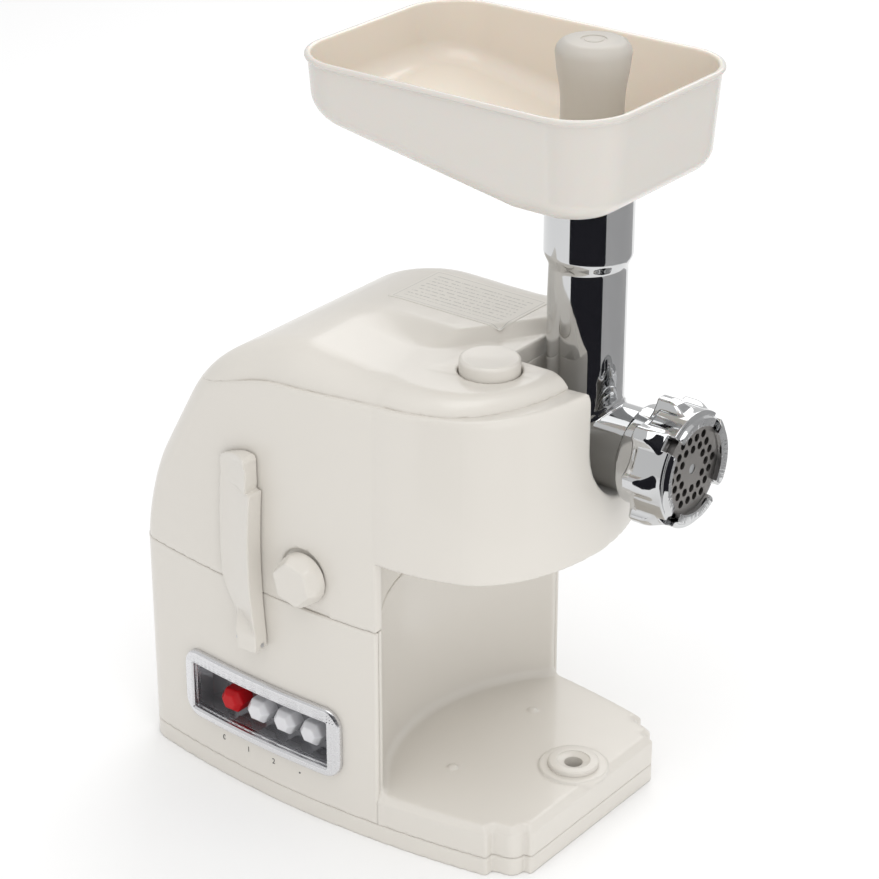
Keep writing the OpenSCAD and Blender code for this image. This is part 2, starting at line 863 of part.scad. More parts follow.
module cooling_fan() {
  color("black") along_x(fan_x, motor_y, motor_z) difference() {
    union() {
      cylinder(r = 9, h = 9);
      cylinder(r = 25, h = 1.5);
      for (k = [0 : 10])
        rotate([0, 0, k * 360 / 11]) translate([8, -0.8, 0]) cube([17, 1.6, 8]);
    }
    translate([0, 0, -1]) cylinder(r = shaft_r, h = 20);
  }
}

module shaft_bushes() {
  color("peru") {
    ring_x(bracket_x, bracket_x + 3, motor_y, motor_z, 8, shaft_r + fit);
    ring_x(frame_back_x, frame_back_x + frame_t, motor_y, motor_z, 7, shaft_r + fit);
    ring_x(frame_front_x, frame_front_x + frame_t, motor_y, motor_z, 7, thin_shaft_r + fit);
    ring_x(worm_bracket_x, worm_bracket_x + 4, motor_y, motor_z, 5, thin_shaft_r + fit);
  }
}

module worm_bracket() {
  floor_z = nose_z + wall;
  color("silver") difference() {
    union() {
      translate([worm_bracket_x, motor_y - 9, floor_z]) cube([4, 18, motor_z - floor_z + 9]);
      translate([worm_bracket_x, motor_y - 9, floor_z]) cube([14, 18, 3]);
    }
    rod_x(worm_bracket_x - 1, worm_bracket_x + 5, motor_y, motor_z, 5);
  }
}

module gear_frame() {
  color("silver") difference() {
    union() {
      translate([frame_back_x, frame_y0, chassis_z])
        cube([frame_front_x + frame_t - frame_back_x, frame_w, 4]);
      for (x = [frame_back_x, frame_front_x])
        translate([x, frame_y0, chassis_z]) cube([frame_t, frame_w, axis_z - chassis_z + 20]);
    }
    rod_x(frame_back_x - 1, frame_front_x + frame_t + 1, motor_y, motor_z, 7);
    rod_x(frame_back_x - 1, frame_front_x + frame_t + 1, idler_y, idler_z, 2.5);
    rod_x(frame_back_x - 1, frame_back_x + frame_t + 1, axis_y, axis_z, 5);
    rod_x(frame_front_x - 1, frame_front_x + frame_t + 1, axis_y, axis_z, 12);
    for (y = [-40, 50])
      translate([(frame_back_x + frame_front_x + frame_t) / 2, y, chassis_z - 1]) cylinder(r = 2.1, h = 10);
  }
}

module frame_screws() {
  color("silver") for (y = [-40, 50])
    translate([(frame_back_x + frame_front_x + frame_t) / 2, y, chassis_z]) {
      cylinder(r = 2.1, h = 4);
      translate([0, 0, 4]) cylinder(r = 4, h = 2.5);
    }
}

// Large first-stage gear and small second-stage pinion on one hub
module idler_gear() {
  color("ghostwhite") along_x(0, idler_y, idler_z) difference() {
    rotate([0, 0, drive_a]) {
      translate([0, 0, gear1_x]) rotate([0, 0, 180 / idler_teeth]) linear_extrude(gear1_w)
        gear_2d(idler_teeth, stage1_m);
      translate([0, 0, gear1_x + gear1_w - eps]) linear_extrude(gear2_w + 1.5)
        gear_2d(pinion_teeth, stage2_m);
    }
    translate([0, 0, gear1_x - 1]) cylinder(r = 2.5 + fit, h = 40);
  }
}

module idler_axle() {
  color("silver") rod_x(frame_back_x, frame_front_x + frame_t, idler_y, idler_z, 2.5);
}

module output_gear() {
  color("ghostwhite") along_x(gear2_x, axis_y, axis_z) difference() {
    rotate([0, 0, drive_a + 180 / output_teeth]) linear_extrude(gear2_w) gear_2d(output_teeth, stage2_m);
    translate([0, 0, -1]) cylinder(r = output_r, h = 20);
  }
}

// Output shaft ending in a socket for the auger's square tail
module output_shaft() {
  color("silver") difference() {
    union() {
      rod_x(frame_back_x, gear2_x, axis_y, axis_z, 5 - fit);
      rod_x(gear2_x, 60, axis_y, axis_z, output_r);
      rod_x(60, trough_x + 0.5, axis_y, axis_z, 11);
    }
    along_x(64, axis_y, axis_z) translate([-square_side / 2 - 0.1, -square_side / 2 - 0.1, 0])
      cube([square_side + 0.2, square_side + 0.2, 40]);
  }
}

module output_bush() {
  color("peru") ring_x(frame_front_x, frame_front_x + frame_t + 9, axis_y, axis_z, 12, output_r + fit);
}

// Beater spindle with its worm wheel, open at the bottom for a beater's shank
module beater_spindle(s) {
  color("ghostwhite") translate([spindle_x, motor_y + s * spindle_gap, 0]) difference() {
    union() {
      translate([0, 0, nose_z + 1]) cylinder(r = 5.9, h = spindle_top - nose_z - 1);
      difference() {
        translate([0, 0, motor_z - 4]) cylinder(r = wheel_r, h = 8);
        for (k = [0 : 17])
          rotate([0, 0, 20 * k]) translate([wheel_r, 0, motor_z - 5]) cylinder(r = 0.6, h = 10);
      }
    }
    translate([0, 0, nose_z]) cylinder(r = 3.2, h = 24);
  }
}

module near_beater_spindle() { beater_spindle(-1); }
module far_beater_spindle() { beater_spindle(1); }

// ---- Grinder ----

module grinder_body() {
  color("silver") difference() {
    union() {
      rod_x(barrel_x0, flange_x, axis_y, axis_z, barrel_r);
      rod_x(flange_x, plate_x - 4, axis_y, axis_z, flange_r);
      translate([tube_x, axis_y, axis_z]) cylinder(r = tube_r, h = tube_top - axis_z);
      translate([tube_x, axis_y, flare_z - 9]) cylinder(r1 = tube_r, r2 = flare_r, h = 9);
      translate([tube_x, axis_y, flare_z]) cylinder(r = flare_r, h = tube_top - flare_z);
    }
    rod_x(barrel_x0 + 4, plate_x, axis_y, axis_z, barrel_bore);
    rod_x(barrel_x0 - 1, barrel_x0 + 5, axis_y, axis_z, 8.05);
    rod_x(seat_x, plate_x + 1, axis_y, axis_z, seat_r);
    translate([tube_x, axis_y, axis_z]) cylinder(r = tube_bore, h = big);
    translate([tube_x, axis_y, flare_z]) cylinder(r1 = tube_bore, r2 = spout_r + 0.1, h = 8);
    translate([tube_x, axis_y, flare_z + 8]) cylinder(r = spout_r + 0.1, h = big);
    translate([seat_x, axis_y - 2.1, axis_z + seat_r - 2]) cube([10, 4.2, 3.4]);
  }
}

// Auger: a tapered core with one flight, a round journal and a square tail
module auger() {
  flight_l = seat_x - 5 - (barrel_x0 + 8);
  color("silver") along_x(barrel_x0 + 5.5, axis_y, axis_z) {
    cylinder(r = 12, h = flight_l + 2.5);
    translate([0, 0, 2.5]) linear_extrude(flight_l, twist = -360 * 3, slices = 60, segments = 12)
      translate([0, -4.5]) square([barrel_bore - 0.8, 9]);
    translate([0, 0, -5.7]) cylinder(r = 8, h = 5.71);
    translate([-square_side / 2, -square_side / 2, -26]) cube([square_side, square_side, 20.4]);
    translate([-3.5, -3.5, flight_l + 2.4]) cube([7, 7, 5]);
    translate([0, 0, flight_l + 7.3]) cylinder(r = 3, h = 5.7);
  }
}

module knife() {
  color("silver") along_x(seat_x - 3, axis_y, axis_z) difference() {
    union() {
      cylinder(r = 8, h = 2.9);
      for (a = [0 : 90 : 270])
        rotate([0, 0, a]) translate([0, -3, 0]) cube([barrel_bore - 1.5, 6, 2.9]);
    }
    translate([-3.55, -3.55, -1]) cube([7.1, 7.1, 6]);
  }
}

// Rows of holes over the plate, with the middle left solid
module cutting_plate() {
  pitch = 7;
  color("silver") along_x(seat_x, axis_y, axis_z) difference() {
    union() {
      cylinder(r = plate_r, h = 6);
      translate([-2, plate_r - 3, 0]) cube([4, 4.2, 6]);
    }
    for (i = [-4 : 4], j = [-4 : 4]) {
      x = pitch * (i + (j % 2 == 0 ? 0 : 0.5));
      y = pitch * 0.866 * j;
      r = norm([x, y]);
      if (r > 9 && r < 22.5)
        translate([x, y, -1]) cylinder(r = 2.4, h = 8, $fn = 24);
    }
    translate([0, 0, -1]) cylinder(r = 3.05, h = 8);
  }
}

module ring_nut() {
  color("silver") along_x(ring_x0, axis_y, axis_z) difference() {
    union() {
      cylinder(r = ring_r, h = ring_x1 - ring_x0);
      intersection() {
        for (k = [0 : lobes - 1])
          rotate([0, 0, k * 360 / lobes]) translate([ring_r - 5, 0, 0])
            cylinder(r = 10.5, h = lobe_len + 12);
        union() {
          cylinder(r = lobe_r, h = lobe_len);
          translate([0, 0, lobe_len]) cylinder(r1 = lobe_r, r2 = ring_r, h = 12);
        }
      }
    }
    translate([0, 0, -1]) cylinder(r = flange_r + 0.1, h = plate_x - ring_x0 + 1.05);
    cylinder(r = ring_mouth_r, h = 60);
    for (a = [45 : 90 : 315])
      rotate([0, 0, a - 6]) translate([20, -4.5, ring_x1 - ring_x0 - 5]) cube([20, 9, 10]);
  }
}

// Tray: drafted walls around a floor that falls towards the feed tube
module tray_plan(i) {
  translate([tray_x, tray_y])
    rounded_rect(-tray_l / 2 + i, tray_l / 2 - i, -tray_w / 2 + i, tray_w / 2 - i, tray_corner_r - i);
}

// One disc of the tray's drafted body, at corner (sx, sy)
module tray_disc(sx, sy, z, r) {
  translate([tray_x + sx * (tray_l / 2 - tray_corner_r), tray_y + sy * (tray_w / 2 - tray_corner_r), z])
    cylinder(r = r, h = 0.5, $fn = 48);
}

module tray_body(i) {
  edge = [[0, 24], [1, 27.5], [3.5, 31], [8, 33]];
  hull()
    for (sx = [-1, 1], sy = [-1, 1]) {
      low = (sx > 0 ? tray_low_z : tray_high_z) + i;
      for (e = edge)
        tray_disc(sx, sy, low + e[0], e[1] - i);
      tray_disc(sx, sy, rim_z - (i > 0 ? 0 : 0.5), tray_corner_r - 1.4 - i);
    }
}

module feed_tray() {
  color("ivory") difference() {
    union() {
      tray_body(0);
      translate([0, 0, rim_z - 3]) linear_extrude(3) tray_plan(0);
      translate([tube_x, axis_y, flare_z + 12]) cylinder(r = spout_r, h = 60);
      translate([tube_x, axis_y, tube_top]) cylinder(r = flare_r, h = 9);
    }
    tray_body(tray_wall);
    translate([tube_x, axis_y, 300]) cylinder(r = spout_bore, h = 200);
  }
}

module pusher() {
  foot_z = 266;
  color("whitesmoke") translate([tube_x, axis_y, 0]) rotate_extrude()
    polygon(concat([[0, foot_z], [19.5, foot_z], [20, foot_z + 1], [20, foot_z + 12], [17.7, foot_z + 20],
                    [17.7, 446], [20.6, 464]],
                   [for (a = [0 : 15 : 90]) [13.1 + 8 * cos(a), 468 + 8 * sin(a)]], [[0, 476.6]]));
}

base_plate();
rubber_feet();
base_screws();
bay_floor();
bay_wall();
column_shell();
bowl_pivot();
hinge_bracket();
cable_gland();
control_bezel();
key_well();
off_key();
speed_1_key();
speed_2_key();
pulse_key();
switch_block();
circuit_breaker();
lock_lever();
lever_pin();
head_shell();
head_bay_wall();
nose_floor();
top_cover();
label_panel();
head_chassis();
hinge_pin();
release_knob();
latch_cam();
eject_button();
eject_spring();
motor_frame();
motor_stator();
stator_coils();
brush_holders();
armature();
commutator();
drive_shaft();
cooling_fan();
shaft_bushes();
gear_frame();
frame_screws();
worm_bracket();
idler_gear();
idler_axle();
output_gear();
output_shaft();
output_bush();
near_beater_spindle();
far_beater_spindle();
grinder_body();
auger();
knife();
cutting_plate();
ring_nut();
feed_tray();
pusher();
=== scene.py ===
import json
import math

import bpy
import numpy as np
import openvdb
from mathutils import Matrix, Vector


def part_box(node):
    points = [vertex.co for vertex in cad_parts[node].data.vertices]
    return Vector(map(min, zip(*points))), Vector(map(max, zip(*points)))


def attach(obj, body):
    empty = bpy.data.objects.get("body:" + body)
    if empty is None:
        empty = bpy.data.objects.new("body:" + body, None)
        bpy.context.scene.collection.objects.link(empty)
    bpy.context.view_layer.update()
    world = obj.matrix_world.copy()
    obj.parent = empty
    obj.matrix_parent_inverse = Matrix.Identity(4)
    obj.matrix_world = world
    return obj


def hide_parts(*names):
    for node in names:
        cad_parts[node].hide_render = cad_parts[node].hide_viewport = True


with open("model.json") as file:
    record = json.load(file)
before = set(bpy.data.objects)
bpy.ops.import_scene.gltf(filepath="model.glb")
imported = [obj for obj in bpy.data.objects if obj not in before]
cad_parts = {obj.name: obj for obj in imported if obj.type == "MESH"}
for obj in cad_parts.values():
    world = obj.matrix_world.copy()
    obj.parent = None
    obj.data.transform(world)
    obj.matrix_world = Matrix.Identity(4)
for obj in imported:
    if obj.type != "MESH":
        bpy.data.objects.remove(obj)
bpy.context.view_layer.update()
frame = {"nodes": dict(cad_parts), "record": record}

# Shapes are worked out in millimetres, and every mesh is written in metres.
MM = 0.001


def box_mm(node):
    """The lowest and highest corner of a CAD node, in millimetres."""
    low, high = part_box(node)
    return [v / MM for v in low], [v / MM for v in high]


# ---- Sizes, taken from the frame ----

(REAR_X, _, _), (_, HALF_W, _) = box_mm("column_shell")
(_, _, SPLIT_Z), (NOSE_X, _, LEDGE_Z) = box_mm("head_shell")
FACE_X = box_mm("column_shell")[1][0]
SEAM_Z = box_mm("column_shell")[0][2]
HALF_W = box_mm("base_plate")[1][1]
_, (_, _, TOP_Z) = box_mm("top_cover")
(BUTTON_X0, BUTTON_Y0, _), (BUTTON_X1, BUTTON_Y1, BUTTON_TOP) = box_mm("eject_button")
BUTTON_R = (BUTTON_X1 - BUTTON_X0) / 2
BUTTON_X = (BUTTON_X0 + BUTTON_X1) / 2
BUTTON_Y = (BUTTON_Y0 + BUTTON_Y1) / 2
(RING_X0, RING_Y0, RING_Z0), (RING_X1, RING_Y1, RING_Z1) = box_mm("ring_nut")
AXIS_Y = (RING_Y0 + RING_Y1) / 2
AXIS_Z = (RING_Z0 + RING_Z1) / 2
(PUSHER_X0, _, FOOT_Z), (PUSHER_X1, _, PUSHER_TOP) = box_mm("pusher")
TUBE_X = (PUSHER_X0 + PUSHER_X1) / 2
(TRAY_X0, TRAY_Y0, SPOUT_Z), (TRAY_X1, TRAY_Y1, RIM_Z) = box_mm("feed_tray")
(BARREL_X0, _, _), (BARREL_X1, _, TUBE_TOP) = box_mm("grinder_body")
(KNOB_X0, _, KNOB_Z0), (KNOB_X1, _, KNOB_Z1) = box_mm("release_knob")
KNOB_X = (KNOB_X0 + KNOB_X1) / 2
KNOB_Z = (KNOB_Z0 + KNOB_Z1) / 2
(LEVER_X0, _, LEVER_Z0), (LEVER_X1, _, LEVER_Z1) = box_mm("lock_lever")
(BEZEL_X0, BEZEL_Y0, BEZEL_Z0), (BEZEL_X1, _, BEZEL_Z1) = box_mm("control_bezel")
(PIVOT_X0, PIVOT_Y0, _), (PIVOT_X1, PIVOT_Y1, PIVOT_TOP) = box_mm("bowl_pivot")
PIVOT_X = (PIVOT_X0 + PIVOT_X1) / 2
(PIN_X0, _, PIN_Z0), (PIN_X1, _, PIN_Z1) = box_mm("hinge_pin")
HINGE_X = (PIN_X0 + PIN_X1) / 2
HINGE_Z = (PIN_Z0 + PIN_Z1) / 2
PIVOT_Y = (PIVOT_Y0 + PIVOT_Y1) / 2

# ---- Sizes of the moulded shapes ----

WALL = 3.0
BOW_R = 655.0
BOW_X = -8.5
REAR_R = 16.0
BAY_R = 123.0
BAY_X = 139.5
NOSE_SIDE_R = 140.0
NOSE_CORNER_R = 40.0
NOSE_Z = 187.0
DECK_Z = 32.0
TROUGH_X = 84.5
TROUGH_Y = -12.0
TROUGH_R = 41.4
TROUGH_FLOOR_Z = 255 - TROUGH_R
NOSE_TOP_Z = 297.0
HUMP_R = 108.0
REAR_LEAN = math.radians(58.5)
REAR_SLOPE_X = -137.0
REAR_SLOPE_Z = 182.0
# The bezel's window: from and to along x, then along z.
WINDOW = (-92.5, 17.0, 41.0, 72.0)
KEY_X0 = -64.5
KEY_PITCH = 20.9
KEY_Z = 54.0
BRACKET_Y = 47.0
BRACKET_HALF = 3.4
LEVER_PIN_Y = -HALF_W - 4.8
LEVER_PIN_Z = LEVER_Z0 + 4
LUG_X0 = -40.0
LUG_X1 = -34.0
SKIN_GAP = 0.3
TRAY_CORNER_R = 36.0
SPOUT_R = 23.6
SPOUT_BORE = 21.6
FLARE_R = 25.5
FLARE_Z = 355.0
TUBE_R = 22.7

# ---- Shape functions: negative inside, positive outside ----


def cut(a, b, r=0.0):
    """What is inside both shapes, with its outer edge rounded to radius r."""
    corner = np.hypot(np.maximum(a + r, 0), np.maximum(b + r, 0))
    return np.minimum(-r, np.maximum(a, b)) + corner


def join(a, b, r=0.0):
    """What is inside either shape, with its inner corner filled to radius r."""
    corner = np.hypot(np.maximum(r - a, 0), np.maximum(r - b, 0))
    return np.maximum(r, np.minimum(a, b)) - corner


def carve(a, b, r=0.0):
    """Shape a with shape b taken out of it."""
    return cut(a, -b, r)


def chamfer(a, b, size):
    """What is inside both shapes, with its outer edge cut off at 45 degrees."""
    return np.maximum(np.maximum(a, b), (a + b + size) * math.sqrt(0.5))


def step_up(value, start, end):
    """0 before start, 1 after end, and smooth between them."""
    t = np.clip((value - start) / (end - start), 0, 1)
    return t * t * (3 - 2 * t)


def block(x, y, z, low, high, r=0.0):
    """A box with rounded edges."""
    gaps = [np.abs(p - (a + b) / 2) - (b - a) / 2 + r for p, a, b in zip((x, y, z), low, high)]
    outside = np.sqrt(sum(np.maximum(g, 0) ** 2 for g in gaps))
    deepest = np.maximum(np.maximum(gaps[0], gaps[1]), gaps[2])
    return outside + np.minimum(deepest, 0) - r


def rod(u, v, w, radius, start, end, r=0.0):
    """A cylinder along w whose axis is at u = v = 0."""
    return cut(np.hypot(u, v) - radius, np.abs(w - (start + end) / 2) - (end - start) / 2, r)


# ---- Meshes ----


def placed(name, data):
    """A new object in the scene."""
    made = bpy.data.objects.new(name, data)
    bpy.context.scene.collection.objects.link(made)
    return made


def settle(points, shape, rounds=4, reach=0.05):
    """Moves points onto the surface where shape is zero, and gives its slope there."""
    slope = None
    for _ in range(rounds):
        x, y, z = points.T
        value = shape(x, y, z)
        slope = np.stack([
            shape(x + reach, y, z) - shape(x - reach, y, z),
            shape(x, y + reach, z) - shape(x, y - reach, z),
            shape(x, y, z + reach) - shape(x, y, z - reach)], axis=1) / (2 * reach)
        size = np.maximum((slope ** 2).sum(axis=1), 0.25)
        move = -slope * (value / size)[:, None]
        length = np.linalg.norm(move, axis=1, keepdims=True)
        points = points + move * np.minimum(1, 0.6 / np.maximum(length, 1e-9))
    return points, slope


def moulded(name, shape, low, high, step):
    """A mesh of the surface where shape(x, y, z) is zero, inside the box from low to high."""
    axes = [np.arange(a - 2.5 * step, b + 3.5 * step, step) for a, b in zip(low, high)]
    x, y, z = np.meshgrid(*axes, indexing="ij", sparse=True)
    field = np.broadcast_to(shape(x, y, z), tuple(len(a) for a in axes))
    volume = openvdb.FloatGrid()
    volume.copyFromArray(np.ascontiguousarray(field, dtype=np.float32))
    points, quads = volume.convertToQuads(0.0)
    points = points.astype(float) * step + [a[0] for a in axes]
    points, slope = settle(points, shape)
    a, b, c = (points[quads[:, i]] for i in range(3))
    outward = np.einsum("ij,ij->i", np.cross(b - a, c - b), slope[quads[:, 0]])
    if outward.sum() < 0:
        quads = quads[:, ::-1]
    mesh = bpy.data.meshes.new(name)
    mesh.vertices.add(len(points))
    mesh.vertices.foreach_set("co", (points * MM).ravel())
    mesh.loops.add(quads.size)
    mesh.loops.foreach_set("vertex_index", quads.ravel().astype(np.int32))
    mesh.polygons.add(len(quads))
    mesh.polygons.foreach_set("loop_start", np.arange(0, quads.size, 4, dtype=np.int32))
    mesh.update(calc_edges=True)
    mesh.validate()
    mesh.shade_smooth()
    return placed(name, mesh)


def turned(name, profile, centre, sides=96):
    """A mesh of revolution about +Z. profile is a list of (radius, height) from end to end."""
    rings = len(profile)
    turn = np.arange(sides) * 2 * math.pi / sides
    points = []
    for radius, height in profile:
        ring = radius * np.cos(turn), radius * np.sin(turn), np.full(sides, height)
        points.append(np.stack(ring, axis=1) + centre)
    faces = []
    for i in range(rings - 1):
        for k in range(sides):
            n = (k + 1) % sides
            faces.append((i * sides + k, i * sides + n, (i + 1) * sides + n, (i + 1) * sides + k))
    faces.append(tuple(range(sides))[::-1])
    faces.append(tuple((rings - 1) * sides + k for k in range(sides)))
    mesh = bpy.data.meshes.new(name)
    mesh.from_pydata((np.concatenate(points) * MM).tolist(), [], faces)
    mesh.validate()
    mesh.shade_smooth()
    mesh.set_sharp_from_angle(angle=math.radians(40))
    return placed(name, mesh)


def arc(centre, radius, start, end, count=6):
    """Points along an arc of a profile, angles in degrees."""
    angles = np.radians(np.linspace(start, end, count))
    return [(centre[0] + radius * math.cos(a), centre[1] + radius * math.sin(a)) for a in angles]


def thin(piece, ratio):
    """Fewer faces, where they aren't needed."""
    modifier = piece.modifiers.new("thin", "DECIMATE")
    modifier.ratio = ratio
    return piece


def fit(piece, body, material, *nodes):
    """Puts a piece on its body, in its material, in place of its CAD nodes."""
    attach(piece, body)
    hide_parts(*nodes)
    piece.data.materials.clear()
    piece.data.materials.append(MATERIALS[material])
    return piece


SLOTS = {part["node"]: part["material_slot"] for part in frame["record"]["subparts"]}

# ---- Materials ----


# Places of the colour sockets on a mix node.
MIX_A = 6
MIX_B = 7
MIX_RESULT = 2


class Shader:
    """A short way to wire a Principled material."""

    def __init__(self, name, **sockets):
        self.material = bpy.data.materials.new(name)
        self.material.use_nodes = True
        self.tree = self.material.node_tree
        self.main = self.tree.nodes["Principled BSDF"]
        self.where = self.tree.nodes.new("ShaderNodeTexCoord").outputs["Object"]
        for key, value in sockets.items():
            self.main.inputs[key.replace("_", " ")].default_value = value

    def node(self, kind, **settings):
        made = self.tree.nodes.new(kind)
        for key, value in settings.items():
            setattr(made, key, value)
        return made

    def link(self, a, b):
        self.tree.links.new(a, b)

    def noise(self, scale, detail=2.0, stretch=(1, 1, 1)):
        mapping = self.node("ShaderNodeMapping")
        mapping.inputs["Scale"].default_value = stretch
        self.link(self.where, mapping.inputs["Vector"])
        made = self.node("ShaderNodeTexNoise")
        made.inputs["Scale"].default_value = scale
        made.inputs["Detail"].default_value = detail
        self.link(mapping.outputs["Vector"], made.inputs["Vector"])
        return made.outputs["Fac"]

    def blend(self, factor, low, high):
        """A soft ramp between two colours."""
        ramp = self.node("ShaderNodeValToRGB")
        ramp.color_ramp.interpolation = "B_SPLINE"
        ramp.color_ramp.elements[0].position = 0.1
        ramp.color_ramp.elements[1].position = 0.9
        ramp.color_ramp.elements[0].color = (*low, 1)
        ramp.color_ramp.elements[1].color = (*high, 1)
        self.link(factor, ramp.inputs["Fac"])
        return ramp.outputs["Color"]

    def spread(self, factor, low, high):
        """A soft ramp between two numbers."""
        made = self.node("ShaderNodeMapRange")
        made.interpolation_type = "SMOOTHERSTEP"
        made.inputs["From Min"].default_value = 0.1
        made.inputs["From Max"].default_value = 0.9
        made.inputs["To Min"].default_value = low
        made.inputs["To Max"].default_value = high
        self.link(factor, made.inputs["Value"])
        return made.outputs["Result"]

    def calc(self, operation, *values):
        """One step of arithmetic on numbers or sockets."""
        made = self.node("ShaderNodeMath", operation=operation)
        for socket, value in zip(made.inputs, values):
            if isinstance(value, (int, float)):
                socket.default_value = value
            else:
                self.link(value, socket)
        return made.outputs["Value"]

    def mix(self, factor, first, second):
        """Two colours, each a socket, mixed by a factor from 0 to 1."""
        made = self.node("ShaderNodeMix", data_type="RGBA")
        self.link(factor, made.inputs["Factor"])
        self.link(first, made.inputs[MIX_A])
        self.link(second, made.inputs[MIX_B])
        return made.outputs[MIX_RESULT]

    def bump(self, height, strength, distance):
        made = self.node("ShaderNodeBump")
        made.inputs["Strength"].default_value = strength
        made.inputs["Distance"].default_value = distance
        self.link(height, made.inputs["Height"])
        self.link(made.outputs["Normal"], self.main.inputs["Normal"])


def tint(color, factor):
    """A lighter or darker colour."""
    return tuple(min(1.0, c * factor) for c in color)


def plastic(name, color, rough=0.3, grain=0.0, **sockets):
    """Moulded plastic: a faint unevenness of colour and gloss, and a grain where it is textured."""
    made = Shader(name, **sockets)
    made.link(made.blend(made.noise(6, 0), tint(color, 0.996), tint(color, 1.004)),
              made.main.inputs["Base Color"])
    made.link(made.spread(made.noise(12, 0), rough * 0.97, rough * 1.03), made.main.inputs["Roughness"])
    if grain:
        made.bump(made.noise(900, 2), grain, 0.0001)
    return made.material


def metal(name, color, rough, stretch=(1, 1, 1), scratch=0.06, scale=400, **sockets):
    """Metal with fine marks along one direction."""
    made = Shader(name, Metallic=1.0, **sockets)
    marks = made.noise(scale, 3, stretch)
    made.link(made.blend(made.noise(25, 2), tint(color, 0.97), tint(color, 1.03)),
              made.main.inputs["Base Color"])
    made.link(made.spread(marks, rough * 0.8, rough * 1.2), made.main.inputs["Roughness"])
    if scratch:
        made.bump(marks, scratch, 0.0001)
    return made.material


def tray_plastic_painted_glow(name, outside, inside):
    """A slightly translucent plastic with a painted glow: the faces that look into the tray are painted
    lighter and warmer than the outside.
    """
    low, high = box_mm("feed_tray")
    made = Shader(name, Roughness=0.24, Coat_Weight=0.2, Coat_Roughness=0.1, Subsurface_Weight=0.15,
                  Subsurface_Scale=0.004)
    toward = made.node("ShaderNodeVectorMath", operation="SUBTRACT")
    middle = (low[0] + high[0]) / 2, (low[1] + high[1]) / 2, high[2] - 16
    toward.inputs[0].default_value = [v * MM for v in middle]
    made.link(made.where, toward.inputs[1])
    inward = made.node("ShaderNodeVectorMath", operation="DOT_PRODUCT")
    made.link(toward.outputs["Vector"], inward.inputs[0])
    made.link(made.where.node.outputs["Normal"], inward.inputs[1])
    # outer is the plastic's own colour; inner is a lighter, warmer copy of it, painted on as glow from
    # light coming through the plastic.
    outer = made.blend(made.noise(6, 0), tint(outside, 0.996), tint(outside, 1.004))
    inner = made.blend(made.noise(6, 0), tint(inside, 0.99), tint(inside, 1.01))
    # Faces that look towards the middle of the tray get the painted glow.
    painted_glow_mask = made.calc("GREATER_THAN", inward.outputs["Value"], 0.0)
    made.link(made.mix(painted_glow_mask, outer, inner), made.main.inputs["Base Color"])
    return made.material


def printed_film(name, color):
    """A pale film with a thin border and rows of broken grey lines that stand in for print."""
    low, high = box_mm("label_panel")
    made = Shader(name, Roughness=0.4)
    parts = made.node("ShaderNodeSeparateXYZ")
    made.link(made.where, parts.inputs["Vector"])
    x = made.calc("DIVIDE", parts.outputs["X"], MM)
    y = made.calc("DIVIDE", parts.outputs["Y"], MM)
    edge = None
    for value, a, b in ((x, low[0], high[0]), (y, low[1], high[1])):
        gap = made.calc("ABSOLUTE", made.calc("SUBTRACT", value, (a + b) / 2))
        gap = made.calc("SUBTRACT", (b - a) / 2, gap)
        edge = gap if edge is None else made.calc("MINIMUM", edge, gap)
    border = made.calc("MULTIPLY", made.calc("GREATER_THAN", edge, 2.0), made.calc("LESS_THAN", edge, 2.5))
    row = made.calc("FRACT", made.calc("DIVIDE", y, 4.2))
    row = made.calc("LESS_THAN", made.calc("ABSOLUTE", made.calc("SUBTRACT", row, 0.5)), 0.13)
    word = made.calc("GREATER_THAN", made.noise(700, 1, (1, 0.4, 1)), 0.47)
    line = made.calc("MULTIPLY", made.calc("MULTIPLY", row, word), made.calc("GREATER_THAN", edge, 6.5))
    ink = made.calc("MULTIPLY", made.calc("MAXIMUM", line, border), 0.35)
    film = made.blend(made.noise(6, 0), tint(color, 0.996), tint(color, 1.004))
    grey = made.node("ShaderNodeRGB")
    grey.outputs["Color"].default_value = (0.12, 0.12, 0.12, 1)
    made.link(made.mix(ink, film, grey.outputs["Color"]), made.main.inputs["Base Color"])
    return made.material


